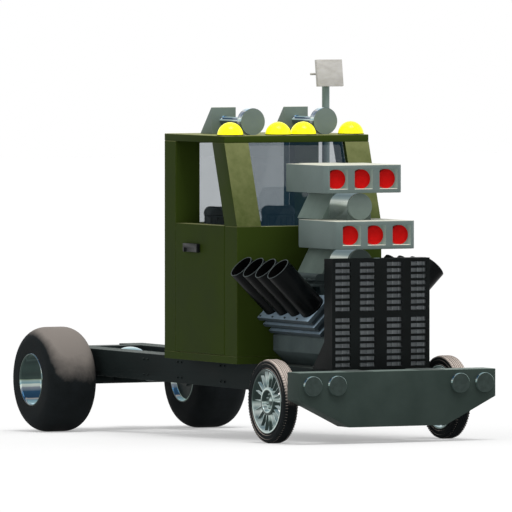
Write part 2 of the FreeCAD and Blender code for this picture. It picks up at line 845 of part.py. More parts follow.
def cab_glass():
    """The raked windscreen between its posts, and the rear window in its wall."""
    half = post_inner_x - face_gap
    lean = screen_run / (roof_underside - sill_z)
    step = glass_thickness * math.sqrt(1 + lean * lean)
    low = cab_front + glass_inset + face_gap * lean
    high = roof_front + glass_inset - face_gap * lean
    screen = drawn_x([(low, sill_z + face_gap), (low + step, sill_z + face_gap),
                      (high + step, roof_underside - face_gap), (high, roof_underside - face_gap)],
                     -half, half)
    middle = (wall_front + cab_rear) / 2
    rear_half = rear_window_half - face_gap
    rear = box(-rear_half, rear_half, middle - glass_thickness / 2, middle + glass_thickness / 2,
               sill_z + face_gap, rear_window_top - face_gap)
    return Part.Compound([screen, rear])


# Seats and steering wheel

def seat():
    rear = wall_front - face_gap
    bottom = cushion_top - cushion_thickness
    side = (seat_x - seat_width / 2, seat_x + seat_width / 2)
    back = box(*side, rear - seat_back_thickness, rear, bottom, seat_back_top)
    corners = [edge for edge in back.Edges
               if edge.CenterOfMass.z > seat_back_top - 1
               and abs(edge.CenterOfMass.x - seat_x) > seat_width / 2 - 1]
    back = back.makeFillet(seat_corner, corners)
    cushion = box(*side, rear - seat_back_thickness - cushion_length, rear - seat_back_thickness,
                  bottom, cushion_top)
    return join([back, cushion])


column_turn = math.radians(column_angle)
column_out = V(0, math.cos(column_turn), math.sin(column_turn))
column_foot = V(seat_x, cowl_rear + dash_depth, dash_top - dash_height / 2)


def steering_wheel():
    column = rod(column_radius, column_length + column_radius, column_foot - column_out * column_radius,
                 column_out).cut(cab_cowl())
    middle = column_foot + column_out * column_length
    hub = rod(wheel_hub_radius, wheel_hub_length, middle - column_out * (wheel_hub_length / 2), column_out)
    ring = Part.makeTorus(wheel_ring_radius, wheel_grip_radius, middle, column_out)
    spokes = []
    for angle in (0, 90, 180):
        spoke = rod(wheel_spoke_radius, wheel_ring_radius, middle, along_x)
        spoke.rotate(middle, column_out, angle)
        spokes.append(spoke)
    return join([column, hub, ring] + spokes)


# Roof lamps and horns

def roof_lamps():
    lamps = []
    for x in (roof_lamp_inner_x, roof_lamp_outer_x):
        centre = V(x, roof_front + roof_lamp_inset, roof_top)
        under = rod(2 * roof_lamp_radius, 2 * roof_lamp_radius, centre - up * (2 * roof_lamp_radius), up)
        lamps.append(Part.makeSphere(roof_lamp_radius, centre).cut(under))
    return both_sides(Part.Compound(lamps))


def horn():
    """A wedge on the roof, and a trumpet that runs forward from it, closed by a flat disc."""
    mouth = roof_front + horn_inset
    box_front = mouth + horn_length
    centre_z = roof_top + horn_radius + face_gap
    wedge = drawn_x([(box_front, roof_top), (box_front + horn_box_depth, roof_top),
                     (box_front + horn_box_top, roof_top + horn_box_height),
                     (box_front, roof_top + horn_box_height)],
                    horn_x - horn_box_width / 2, horn_x + horn_box_width / 2)
    flare_start = mouth + horn_lip
    lip = rod(horn_radius, horn_lip, V(horn_x, mouth, centre_z), along_y)
    flare = Part.makeCone(horn_radius, horn_tube_radius, horn_flare_length,
                          V(horn_x, flare_start, centre_z), along_y)
    tube = rod(horn_tube_radius, box_front - flare_start, V(horn_x, flare_start, centre_z), along_y)
    return join([wedge, lip, flare, tube])


# Mast on the cab's left side, with a square panel that tilts at its head

mast_x = cab_half + mast_stand
mast_y = cab_rear - mast_inset
mast_head_z = roof_top + mast_head_rise
mast_head = V(mast_x, mast_y, mast_head_z)
roof_bracket_z = roof_underside + (roof_thickness - bracket_height) / 2


def mast():
    start = mast_head - along_x * mast_head_half
    pieces = [rod(mast_radius, mast_head_z - mast_bottom, V(mast_x, mast_y, mast_bottom), up),
              rod(mast_head_radius, 2 * mast_head_half, start, along_x)]
    for z in (lower_bracket_z, middle_bracket_z, roof_bracket_z):
        pieces.append(box(cab_half, mast_x, mast_y - bracket_half, mast_y + bracket_half,
                          z, z + bracket_height))
    return join(pieces).cut(rod(panel_pin_radius + pin_clearance, 2 * mast_head_half, start, along_x))


def mast_panel():
    """Drawn about its pin, leaned back, and then taken up to the mast's head."""
    pin_middle = V(0, 0, 0)
    back = -mast_radius - panel_stand
    half = panel_width / 2
    pieces = [box(-half, half, back - panel_thickness, back, -panel_height / 2, panel_height / 2),
              rod(panel_pin_radius, panel_width + 2 * panel_pin_over,
                  pin_middle - along_x * (half + panel_pin_over), along_x)]
    inner = mast_head_half + running_gap
    for start in (-inner - ear_thickness, inner):
        pieces.append(box(start, start + ear_thickness, back, panel_pin_radius + ear_wall,
                          -ear_half_height, ear_half_height))
    panel = join(pieces)
    panel.rotate(pin_middle, along_x, -panel_lean)
    panel.translate(mast_head)
    return panel


# Every node and its shape, drawn level

nodes = {
    "rail_right": mirrored(rail()),
    "rail_left": rail(),
    "crossmembers": crossmembers(),
    "rear_axle": rear_axle(),
    "driveline": driveline(),
    "front_axle": front_axle(),
    "knuckle_right": mirrored(knuckle()),
    "knuckle_left": knuckle(),
    "tie_rod": tie_rod(),
    "rear_rim_right": mirrored(rear_rim()),
    "rear_rim_left": rear_rim(),
    "rear_tyre_right": mirrored(rear_tyre()),
    "rear_tyre_left": rear_tyre(),
    "front_rim_right": mirrored(front_rim()),
    "front_rim_left": front_rim(),
    "front_tyre_right": mirrored(front_tyre()),
    "front_tyre_left": front_tyre(),
    "bumper": bumper(),
    "bumper_lamps": bumper_lamps(),
    "radiator_shell": radiator_shell(),
    "radiator_core": radiator_core(),
    "engine_block": engine_block(),
    "cylinder_banks": both_sides(cylinder_bank()),
    "exhaust_pipes": both_sides(exhaust_pipes()),
    "intake_manifold": intake_manifold(),
    "blowers": Part.Compound([blower(lower_blower_z, lower_blower_height),
                              blower(upper_blower_z, upper_blower_height)]),
    "blower_drives": Part.Compound([blower_drive(lower_blower_z, lower_drive_rise),
                                    blower_drive(upper_blower_z, upper_drive_rise)]),
    "scoops": Part.Compound([scoop(lower_scoop_front, lower_scoop_z),
                             scoop(upper_scoop_front, upper_scoop_z)]),
    "butterflies": Part.Compound([butterflies(lower_scoop_front, lower_scoop_z),
                                  butterflies(upper_scoop_front, upper_scoop_z)]),
    "cab_floor": cab_floor(),
    "cab_cowl": cab_cowl(),
    "windscreen_posts": both_sides(windscreen_post()),
    "cab_rear_wall": cab_rear_wall(),
    "cab_roof": cab_roof(),
    "door_right": mirrored(door()),
    "door_left": door(),
    "door_handle_right": mirrored(door_handle()),
    "door_handle_left": door_handle(),
    "cab_glass": cab_glass(),
    "seats": both_sides(seat()),
    "steering_wheel": steering_wheel(),
    "roof_lamps": roof_lamps(),
    "horns": both_sides(horn()),
    "mast": mast(),
    "mast_panel": mast_panel(),
}


# The stance: tipped by the rake, then stood on the floor about the box's bottom centre

for shape in nodes.values():
    shape.rotate(V(0, 0, 0), along_x, rake)

boxes = [shape.optimalBoundingBox(False) for shape in nodes.values()]
middle_y = (min(b.YMin for b in boxes) + max(b.YMax for b in boxes)) / 2
stand = V(0, -middle_y, rear_tyre_radius)


def placed(point):
    """Where a point of the level drawing ends up."""
    return FreeCAD.Rotation(along_x, rake).multVec(point) + stand


os.makedirs("parts", exist_ok=True)
for name, shape in nodes.items():
    shape.translate(stand)
    shape.exportStep("parts/" + name + ".step")
    litres = shape.Volume / 1e6
    print(name, len(shape.Solids), "valid" if shape.isValid() else "NOT VALID", round(litres, 2))
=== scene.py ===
import json
import math

import bmesh
import bpy
from mathutils import Matrix, Vector


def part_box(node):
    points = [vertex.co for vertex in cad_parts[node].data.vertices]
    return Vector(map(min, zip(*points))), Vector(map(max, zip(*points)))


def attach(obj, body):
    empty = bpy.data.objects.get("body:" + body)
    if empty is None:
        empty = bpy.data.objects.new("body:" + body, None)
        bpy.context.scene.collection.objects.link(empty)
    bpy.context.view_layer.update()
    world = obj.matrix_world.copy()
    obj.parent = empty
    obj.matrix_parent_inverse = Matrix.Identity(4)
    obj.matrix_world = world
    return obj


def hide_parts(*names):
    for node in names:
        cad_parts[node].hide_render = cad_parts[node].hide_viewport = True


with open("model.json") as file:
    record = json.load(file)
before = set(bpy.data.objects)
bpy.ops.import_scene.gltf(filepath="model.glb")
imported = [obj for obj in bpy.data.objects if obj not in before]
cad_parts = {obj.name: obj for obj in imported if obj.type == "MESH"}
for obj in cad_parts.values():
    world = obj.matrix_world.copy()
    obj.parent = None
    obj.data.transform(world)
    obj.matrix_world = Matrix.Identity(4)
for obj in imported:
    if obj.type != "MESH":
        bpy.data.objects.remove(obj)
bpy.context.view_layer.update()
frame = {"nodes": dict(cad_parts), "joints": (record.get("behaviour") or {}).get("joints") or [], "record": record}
record = frame["record"]
bodyOf = {node: body for body, names in record["behaviour"]["bodies"].items() for node in names}

# The truck is drawn level, with its origin at the middle of the rear axle and +Y to its rear,
# and then tipped nose down by its rake onto its smaller front wheels.
kingpin = next(joint for joint in frame["joints"] if joint["name"] == "steer_right")
rake = math.atan2(-kingpin["axis"][1], kingpin["axis"][2])
lowTyre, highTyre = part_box("rear_tyre_left")
rearAxle = (lowTyre + highTyre) / 2
stance = Matrix.Translation((0, rearAxle.y, rearAxle.z)) @ Matrix.Rotation(rake, 4, "X")
levelAgain = stance.inverted()


def levelBox(node):
    points = [levelAgain @ vertex.co for vertex in frame["nodes"][node].data.vertices]
    low = Vector([min(point[axis] for point in points) for axis in range(3)])
    high = Vector([max(point[axis] for point in points) for axis in range(3)])
    return low, high


print("frame loaded, rake in degrees:", round(math.degrees(rake), 3))


# Working in edit mode. All sizes are in metres.

mergeGap = 0.00005      # corners closer than this are one


def deselect():
    if bpy.context.object and bpy.context.object.mode != "OBJECT":
        bpy.ops.object.mode_set(mode="OBJECT")
    bpy.ops.object.select_all(action="DESELECT")


def only(piece):
    deselect()
    piece.select_set(True)
    bpy.context.view_layer.objects.active = piece


def edit(piece, kind="FACE"):
    only(piece)
    bpy.ops.object.mode_set(mode="EDIT")
    bpy.ops.mesh.select_mode(type=kind)
    bpy.ops.mesh.select_all(action="DESELECT")


def pickFaces(piece, wanted):
    mesh = bmesh.from_edit_mesh(piece.data)
    for face in mesh.faces:
        face.select_set(bool(wanted(face.calc_center_median(), face.normal)))
    bmesh.update_edit_mesh(piece.data)


def pickVertices(piece, wanted):
    mesh = bmesh.from_edit_mesh(piece.data)
    for vertex in mesh.verts:
        vertex.select_set(bool(wanted(vertex.co)))
    bmesh.update_edit_mesh(piece.data)


def modify(piece, kind, **settings):
    only(piece)
    modifier = piece.modifiers.new(kind.title(), kind)
    for name, value in settings.items():
        setattr(modifier, name, value)
    bpy.ops.object.modifier_apply(modifier=modifier.name)


def joined(pieces):
    deselect()
    for piece in pieces:
        piece.select_set(True)
    bpy.context.view_layer.objects.active = pieces[0]
    if len(pieces) > 1:
        bpy.ops.object.join()
    return pieces[0]


def moved(piece, matrix):
    piece.data.transform(matrix)
    if matrix.determinant() < 0:
        piece.data.flip_normals()
    return piece


def copyOf(piece, matrix):
    twin = piece.copy()
    twin.data = piece.data.copy()
    bpy.context.scene.collection.objects.link(twin)
    return moved(twin, matrix)


def scattered(piece, places):
    copies = [copyOf(piece, place) for place in places]
    bpy.data.objects.remove(piece)
    return joined(copies)


def at(x, y, z):
    return Matrix.Translation((x, y, z))


def turned(degrees, axis):
    return Matrix.Rotation(math.radians(degrees), 4, axis)


def around(count, place, first=0.0, axis="X"):      # the same place, turned evenly round an axis
    return [Matrix.Rotation(2 * math.pi * (number + first) / count, 4, axis) @ place for number in range(count)]


mirror = Matrix.Scale(-1, 4, (1, 0, 0))
bothSides = (Matrix.Identity(4), mirror)
alongY, againstY, alongZ = turned(90, "Z"), turned(-90, "Z"), turned(-90, "Y")      # for pieces made along X


def finish(piece, name, node, material, replaces=(), smooth=35, level=True):
    only(piece)
    if level:
        piece.data.transform(stance)
    piece.matrix_world = Matrix.Identity(4)
    piece.name = name
    piece.data.name = name
    piece.data.materials.clear()
    piece.data.materials.append(material)
    bpy.ops.object.shade_smooth_by_angle(angle=math.radians(smooth))
    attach(piece, bodyOf[node])
    if replaces:
        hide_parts(*replaces)
    return piece


def block(low, high, bevel=0.0, segments=2):
    deselect()
    bpy.ops.mesh.primitive_cube_add(size=1)
    piece = bpy.context.object
    middle = (Vector(low) + Vector(high)) / 2
    size = Vector(high) - Vector(low)
    moved(piece, Matrix.Translation(middle) @ Matrix.Diagonal((*size, 1)))
    if bevel:
        modify(piece, "BEVEL", width=bevel, segments=segments)
    return piece


def lathed(profile, steps=64):      # a profile of places along X and radii, spun about X
    deselect()
    bpy.ops.mesh.primitive_plane_add(size=0.002)
    piece = bpy.context.object
    edit(piece, "VERT")
    bpy.ops.mesh.select_all(action="SELECT")
    bpy.ops.mesh.merge(type="CENTER")
    bpy.ops.transform.translate(value=(profile[0][0], profile[0][1], 0))
    for last, point in zip(profile, profile[1:]):
        step = (point[0] - last[0], point[1] - last[1], 0)
        bpy.ops.mesh.extrude_vertices_move(TRANSFORM_OT_translate={"value": step})
    bpy.ops.mesh.select_all(action="SELECT")
    bpy.ops.mesh.spin(steps=steps, angle=2 * math.pi, center=(0, 0, 0), axis=(1, 0, 0))
    bpy.ops.mesh.select_all(action="SELECT")
    bpy.ops.mesh.remove_doubles(threshold=mergeGap)
    bpy.ops.mesh.normals_make_consistent(inside=False)
    bpy.ops.object.mode_set(mode="OBJECT")
    return piece


def quarter(steps, lowest=0):       # the angles of a quarter round, from the lowest up to 90 degrees
    return [math.radians(lowest + (90 - lowest) * step / steps) for step in range(steps + 1)]


def boltHead(radius, height):       # a hexagon head on its washer, standing along +X
    deselect()
    bpy.ops.mesh.primitive_cylinder_add(vertices=6, radius=radius, depth=height)
    head = bpy.context.object
    moved(head, at(0, 0, height * 0.7))
    modify(head, "BEVEL", width=radius * 0.12, segments=1)
    deselect()
    bpy.ops.mesh.primitive_cylinder_add(vertices=14, radius=radius * 1.35, depth=height * 0.4)
    washer = bpy.context.object
    return moved(joined([head, washer]), turned(90, "Y"))


# A dressed copy of a CAD node: its loose triangles are merged and its edges are rounded
def softened(node, material, name, width, segments=2, smooth=25):
    original = frame["nodes"][node]
    piece = original.copy()
    piece.data = original.data.copy()
    bpy.context.scene.collection.objects.link(piece)
    for key in [key for key in piece.keys() if key.startswith("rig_")]:
        del piece[key]
    piece.parent = None
    piece.matrix_world = Matrix.Identity(4)
    edit(piece, "VERT")
    bpy.ops.mesh.select_all(action="SELECT")
    bpy.ops.mesh.remove_doubles(threshold=mergeGap)
    bpy.ops.mesh.dissolve_limited(angle_limit=math.radians(0.4))
    bpy.ops.object.mode_set(mode="OBJECT")
    modify(piece, "BEVEL", width=width, segments=segments, limit_method="ANGLE", angle_limit=math.radians(32))
    return finish(piece, name, node, material, (node,), smooth, level=False)


# Working on materials

def hexColour(code):
    shares = [int(code[place:place + 2], 16) / 255 for place in (0, 2, 4)]
    linear = [share / 12.92 if share <= 0.04045 else ((share + 0.055) / 1.055) ** 2.4 for share in shares]
    return linear + [1.0]


def fill(owner, node, values):      # each socket gets a fixed value or what another node gives
    for socket, value in values.items():
        if isinstance(value, bpy.types.NodeSocket):
            owner.node_tree.links.new(value, node.inputs[socket])
        else:
            node.inputs[socket].default_value = value


def addNode(owner, kind, values=None, **settings):
    node = owner.node_tree.nodes.new("ShaderNode" + kind)
    for name, value in settings.items():
        setattr(node, name, value)
    fill(owner, node, values or {})
    return node


def shade(material, values):
    fill(material, material.node_tree.nodes["Principled BSDF"], values)


def newMaterial(name, colour, roughness, specular=0.5, metallic=0.0):
    material = bpy.data.materials.new(name)
    material.use_nodes = True
    shade(material, {"Base Color": hexColour(colour), "Roughness": roughness, "Metallic": metallic,
                     "Specular IOR Level": specular})
    return material


# Soft clouds of two tones over the surface, and a roughness that follows them. Sizes are in metres.
def mottled(material, first, second, size, roughness, stretch=(1, 1, 1)):
    place = addNode(material, "TexCoord").outputs["Object"]
    drawn = addNode(material, "Mapping", {"Vector": place, "Scale": stretch}).outputs[0]
    clouds = addNode(material, "TexNoise", {"Vector": drawn, "Scale": 1 / size, "Detail": 5.0,
                                            "Roughness": 0.6}).outputs[0]
    share = addNode(material, "MapRange", {"Value": clouds, "From Min": 0.35, "From Max": 0.65}).outputs[0]
    tone = addNode(material, "Mix", {0: share, 6: hexColour(first), 7: hexColour(second)},
                   data_type="RGBA").outputs[2]
    gloss = addNode(material, "MapRange", {"Value": share, "To Min": roughness[0],
                                           "To Max": roughness[1]}).outputs[0]
    shade(material, {"Base Color": tone, "Roughness": gloss})
    return tone, place


# Dust together with painted light: a paler colour where the surface looks up or along another direction, as
# settled dust and as a painted highlight, broken up by a noise
def dustAndPaintedLight(material, tone, place, colour, begins, full, most, towards=(0, 0, 1)):
    normal = addNode(material, "NewGeometry").outputs["Normal"]
    height = addNode(material, "VectorMath", {0: normal, 1: towards},
                     operation="DOT_PRODUCT").outputs["Value"]
    patches = addNode(material, "TexNoise", {"Vector": place, "Scale": 7.0, "Detail": 6.0,
                                             "Roughness": 0.7}).outputs[0]
    shift = addNode(material, "Math", {0: patches, 1: 0.30}, operation="MULTIPLY").outputs[0]
    reach = addNode(material, "Math", {0: height, 1: shift}, operation="ADD").outputs[0]
    share = addNode(material, "MapRange", {"Value": reach, "From Min": begins + 0.15,
                                           "From Max": full + 0.15, "To Max": most}).outputs[0]
    # painted light: the paler colour on faces that look up or towards the light, together with dust
    mixed = addNode(material, "Mix", {0: share, 6: tone, 7: hexColour(colour)}, data_type="RGBA").outputs[2]
    shade(material, {"Base Color": mixed})
    return mixed


# Bare or paler metal where a worn coat has gone from the edges
def edgeWorn(material, tone, place, colour, reach, most):
    rounded = addNode(material, "Bevel", {"Radius": reach}, samples=6).outputs[0]
    normal = addNode(material, "NewGeometry").outputs["True Normal"]
    likeness = addNode(material, "VectorMath", {0: rounded, 1: normal},
                       operation="DOT_PRODUCT").outputs["Value"]
    patches = addNode(material, "TexNoise", {"Vector": place, "Scale": 24.0, "Detail": 6.0,
                                             "Roughness": 0.75}).outputs[0]
    edge = addNode(material, "MapRange", {"Value": likeness, "From Min": 0.98, "From Max": 0.86}).outputs[0]
    chips = addNode(material, "MapRange", {"Value": patches, "From Min": 0.46, "From Max": 0.60,
                                           "To Max": most}).outputs[0]
    share = addNode(material, "Math", {0: edge, 1: chips}, operation="MULTIPLY").outputs[0]
    mixed = addNode(material, "Mix", {0: share, 6: tone, 7: hexColour(colour)}, data_type="RGBA").outputs[2]
    shade(material, {"Base Color": mixed})


# A fine relief. The size is that of one grain, and the depth is how far it stands, in metres.
def grained(material, place, size, depth, stretch=(1, 1, 1)):
    drawn = addNode(material, "Mapping", {"Vector": place, "Scale": stretch}).outputs[0]
    grain = addNode(material, "TexNoise", {"Vector": drawn, "Scale": 1 / size, "Detail": 3.0}).outputs[0]
    bump = addNode(material, "Bump", {"Height": grain, "Distance": depth, "Strength": 1.0}).outputs[0]
    shade(material, {"Normal": bump})


# A finish made with the four functions above, in their order. Each gets its own group of values here.
def coated(name, colour, roughness, specular, clouds, grain, dustAndLight=(), worn=None, metallic=0.0):
    material = newMaterial(name, colour, roughness, specular, metallic)
    tone, place = mottled(material, *clouds)
    for layer in dustAndLight:
        tone = dustAndPaintedLight(material, tone, place, *layer)
    if worn:
        edgeWorn(material, tone, place, *worn)
    grained(material, place, *grain)
    return material


# Olive enamel on sheet steel: an even semi-gloss with orange peel and paler edges. What faces forward is painted
# paler, as painted light, and the tops carry khaki dust together with a painted highlight
oliveEnamel = coated(
    "Olive enamel", "2B3612", 0.5, 0.025, ("28340F", "2F3C13", 0.7, (0.46, 0.58)), (0.004, 0.00006),
    dustAndLight=[("384719", 0.45, 0.90, 1.0, (0, -1, 0)), ("8C8F62", 0.20, 0.62, 0.95)], worn=("696E45", 0.007, 0.7))

# Satin chassis black on rolled steel: blue-black, slightly streaked, scuffed to grey on the edges, with grey dust
# and a painted highlight where it looks up
chassisBlack = coated(
    "Satin chassis black", "1B2224", 0.6, 0.04, ("1A2020", "212929", 0.35, (0.52, 0.7), (1, 0.25, 1)),
    (0.006, 0.00010), dustAndLight=[("5A615E", 0.55, 0.95, 0.8)], worn=("545958", 0.006, 0.6))

# Stoved enamel of the radiator shell: a neutral black, newer and smoother than the chassis
shellBlack = coated("Black stoved enamel", "101313", 0.5, 0.055, ("0D1010", "131717", 0.3, (0.42, 0.55)),
                    (0.004, 0.00005), worn=("41484A", 0.004, 0.5))

# Plated and polished metal. Under a white sky a mirror is blank, so the bands that a workshop yard would
# show in it are painted in, a painted reflection laid out by the way the surface looks: dark ground below,
# bright horizon, deep sky above. The bands also glow, which is painted light.
def mirrored(name, roughness, reflectionBands, haze, paintedGlow, grain, stretch=(1, 1, 0.3)):
    material = newMaterial(name, "A9B8BD", roughness[0], metallic=1.0)
    tone, place = mottled(material, haze[0], haze[1], 0.12, roughness, stretch)
    normal = addNode(material, "NewGeometry").outputs["Normal"]
    height = addNode(material, "SeparateXYZ", {0: normal}).outputs["Z"]
    ripple = addNode(material, "TexNoise", {"Vector": place, "Scale": 6.0}).outputs[0]
    wander = addNode(material, "MapRange", {"Value": ripple, "To Min": -0.015, "To Max": 0.015}).outputs[0]
    reach = addNode(material, "Math", {0: height, 1: wander}, operation="ADD").outputs[0]
    share = addNode(material, "MapRange", {"Value": reach, "From Min": -1.0}).outputs[0]
    ramp = addNode(material, "ValToRGB", {0: share})
    elements = ramp.color_ramp.elements
    elements[0].color, elements[1].color = hexColour(reflectionBands[0][1]), hexColour(reflectionBands[-1][1])
    for stop, code in reflectionBands[1:-1]:
        elements.new(stop).color = hexColour(code)
    tinted = addNode(material, "Mix", {0: 1.0, 6: ramp.outputs[0], 7: tone}, data_type="RGBA",
                     blend_type="MULTIPLY").outputs[2]
    dimmed = addNode(material, "Mix", {0: 1.0, 6: tinted, 7: hexColour("B4B4B4")}, data_type="RGBA",
                     blend_type="MULTIPLY").outputs[2]
    # the painted reflection goes into the base colour and glows through the emission
    shade(material, {"Base Color": dimmed, "Emission Color": tinted, "Emission Strength": paintedGlow})
    grained(material, place, *grain)
    return material


# Chromium plate: a hard mirror with a painted reflection of deep blue sky in it, faintly hazed by wiping
chromePlate = mirrored("Chromium plate", (0.05, 0.12), (
    (0.0, "38423F"), (0.500, "3C4744"), (0.512, "8C9A88"), (0.535, "A0B4B2"), (0.585, "7FA0AA"),
    (0.600, "D5DDD4"), (0.645, "C8D0CC"), (0.665, "8A8F9A"), (0.720, "6A7888"), (0.745, "31506C"),
    (0.870, "2A4560"), (0.890, "B4ACA8"), (0.915, "6E8DA0"), (0.960, "93B2BA"), (1.0, "C8D8DA")),
    ("E4ECEC", "F4F8F8"), 0.72, (0.09, 0.00020))

# Chromed spokes and rims: the same plate with a whiter painted reflection, as its small faces catch the horizon
chromeSpokes = mirrored("Chromed alloy spokes", (0.08, 0.16), (
    (0.0, "2E3735"), (0.480, "3A4542"), (0.497, "46524F"), (0.515, "9FAFAA"), (0.560, "DDE5E0"),
    (0.620, "8FA3A3"), (0.680, "E4EAE6"), (0.760, "6F8488"), (0.850, "D0DAD8"), (0.930, "88A0A8"),
    (1.0, "E0E8E8")), ("DCE4E4", "F0F4F4"), 0.62, (0.03, 0.00030))

# Painted cast iron: a satin grey-green with the sand-cast skin under it, and pale dust with a painted highlight
# where it looks up
castIron = coated("Painted cast iron", "4C5859", 0.6, 0.08, ("485354", "546060", 0.18, (0.52, 0.7)),
                  (0.0035, 0.00028), dustAndLight=[("7D8A8C", 0.3, 0.9, 0.6)], worn=("7A8483", 0.004, 0.5))

# Tyre rubber: near black and matt, faintly blue at the sides, with a warm painted highlight over the top, towards
# the light, mixed with road dust
slickRubber, treadRubber = [
    coated("Tyre rubber, " + kind, "181C1D", 0.75, 0.06, ("15191A", "1E2224", 0.16, (0.68, 0.85)),
           (0.0025, 0.00020), dustAndLight=[(dustAndLight, 0.36, 0.78, most, (0.10, -0.42, 0.90))])
    for kind, dustAndLight, most in (("slick", "87807A", 0.9), ("treaded", "CFC2B8", 0.95))]

# Bumper paint: grey-green satin on pressed steel, chipped along the edges, with dust and a painted highlight where
# it looks up
bumperPaint = coated("Grey-green satin paint", "35403D", 0.5, 0.03, ("323D39", "3A4541", 0.5, (0.44, 0.58)),
                     (0.005, 0.00008), dustAndLight=[("7C8A84", 0.5, 0.95, 0.8)], worn=("7C8A84", 0.005, 0.6))

# Lamp covers and rear rim centres: the same paint on spun steel, a little glossier
lampCover = coated("Spun steel cover", "333E3B", 0.42, 0.08, ("313B38", "394441", 0.05, (0.34, 0.48)),
                   (0.002, 0.00006))

# Radiator matrix: bare aluminium fin stock, dulled by road dirt
finStock = coated("Bare fin stock", "9CA2A5", 0.5, 0.2, ("949A9D", "A4AAAD", 0.10, (0.42, 0.6)),
                  (0.003, 0.00010, (1, 1, 3)))

# Finned castings: dulled aluminium, bright on the machined edges, and pale blue-grey where it looks up, a painted
# highlight and sky reflection mixed with dust
castFins = coated("Cast aluminium fins", "3A4449", 0.5, 0.10, ("333D42", "414C53", 0.14, (0.42, 0.6)),
                  (0.003, 0.00018), dustAndLight=[("9AB1C2", 0.25, 0.75, 0.85)], worn=("8D9BA2", 0.004, 0.8))

# Heat-proof black on the pipes: close to gloss, with patches that the heat has dulled
pipeEnamel = coated("Heat-proof black enamel", "07090A", 0.34, 0.05, ("060809", "0C0F10", 0.2, (0.24, 0.38)),
                    (0.003, 0.00004))

# Soot inside the pipes: dead black, rough and dry
pipeSoot = coated("Soot", "020202", 0.95, 0.05, ("010101", "060606", 0.06, (0.9, 1.0)), (0.004, 0.0004))

# Cut steel lip of the pipes: bare, ground, lightly blued
pipeLip = coated("Ground steel lip", "3C4445", 0.45, 0.12, ("363E40", "464E4D", 0.03, (0.4, 0.55)),
                 (0.0015, 0.00008))

# Blower cases: cast aluminium under a thin grey-green lacquer, with pale dust and a painted highlight where it
# looks up
blowerCast = coated("Lacquered casting", "8D9F98", 0.55, 0.10, ("85978F", "95A7A0", 0.3, (0.48, 0.62)),
                    (0.003, 0.00012), dustAndLight=[("A6AEA6", 0.5, 0.95, 0.7)], worn=("9AA6A2", 0.005, 0.5))

# Polished aluminium of the drive housings: a soft mirror with a painted reflection, dark below its middle and
# drawn out lengthwise
polishedAlloy = mirrored("Polished aluminium", (0.16, 0.28), (
    (0.0, "262C2A"), (0.30, "343B38"), (0.47, "565F5B"), (0.54, "8A938C"), (0.62, "D4DAD2"), (0.70, "EEF2EC"),
    (0.78, "A8B6B8"), (0.90, "8C9CA4"), (1.0, "A8B6BC")), ("DCE2E0", "F0F4F2"), 0.62,
    (0.004, 0.00006, (1, 0.05, 1)), (1, 0.1, 1))

# Scoop paint: pale grey-green satin, with a cream painted highlight where the light catches its top. On horns and
# drive discs the same coat is a shade paler.
scoopPaint, discPaint = [
    coated("Pale grey-green satin" + sort, colour, 0.5, 0.10, (first, second, 0.4, (0.42, 0.55)),
           (0.004, 0.00006), dustAndLight=[("D8D8C8", 0.5, 0.95, 0.9)], worn=("B8C0B4", 0.004, 0.6))
    for sort, colour, first, second in (("", "6B7976", "667471", "707E7B"),
                                        (", paler", "74827D", "6F7D78", "798783"))]

# Scoop mouths: the same coat, kept out of the weather, made to glow as painted light so that the mouths show no
# shade
scoopLining = newMaterial("Pale grey-green satin, inside", "6C7B74", 0.5, 0.05)
tone, place = mottled(scoopLining, "67766F", "718079", 0.4, (0.42, 0.55))
tone = dustAndPaintedLight(scoopLining, tone, place, "E8E8D8", 0.5, 0.95, 0.9)
# painted light: the lining glows to lift the shade inside the mouths
shade(scoopLining, {"Emission Color": tone, "Emission Strength": 0.62})
grained(scoopLining, place, 0.004, 0.00006)

# Red lacquer of the butterflies: an even deep red with a soft gloss
redLacquer = coated("Red lacquer", "C4110F", 0.4, 0.04, ("C0100E", "CC1312", 0.05, (0.36, 0.46)),
                    (0.004, 0.00004))

# Gloss black moulded nylon of the handles
blackNylon = coated("Black moulded nylon", "101213", 0.35, 0.15, ("0E1011", "16191A", 0.05, (0.3, 0.42)),
                    (0.0012, 0.00006))

# Laminated glass: grey through its film, with a painted glow of a trace of blue, and faint wiper haze
tintedGlass = newMaterial("Tinted laminated glass", "ACB0B4", 0.02)
place = addNode(tintedGlass, "TexCoord").outputs["Object"]
haze = addNode(tintedGlass, "TexNoise", {"Vector": place, "Scale": 5.0, "Detail": 5.0}).outputs[0]
film = addNode(tintedGlass, "Mix", {0: haze, 6: hexColour("A5A8A9"), 7: hexColour("ACAFB0")},
               data_type="RGBA").outputs[2]
smear = addNode(tintedGlass, "MapRange", {"Value": haze, "From Min": 0.55, "From Max": 0.8, "To Min": 0.0,
                                          "To Max": 0.05}).outputs[0]
# painted light: a faint blue glow from glass that is no lamp
shade(tintedGlass, {"Transmission Weight": 1.0, "IOR": 1.45, "Base Color": film, "Roughness": smear,
                    "Emission Color": hexColour("80C8F8"), "Emission Strength": 0.016})

# Black seat vinyl: a pebbled grain 3 mm across, drawn a little coarse so that it shows, and a low sheen
seatVinyl = newMaterial("Grained black vinyl", "41494C", 0.5, 0.12)
_, place = mottled(seatVinyl, "3D4648", "464E51", 0.12, (0.42, 0.58))
cells = addNode(seatVinyl, "TexVoronoi", {"Vector": place, "Scale": 330.0},
                feature="DISTANCE_TO_EDGE").outputs[0]
pebbles = addNode(seatVinyl, "MapRange", {"Value": cells, "From Max": 0.18}).outputs[0]
relief = addNode(seatVinyl, "Bump", {"Height": pebbles, "Distance": 0.0004, "Strength": 0.8}).outputs[0]
shade(seatVinyl, {"Normal": relief})

# Welt cord and mats: matt black rubber with a fine moulded grain
blackRubber = coated("Moulded black rubber", "15181A", 0.75, 0.2, ("131618", "1C2022", 0.08, (0.68, 0.82)),
                     (0.002, 0.00015))

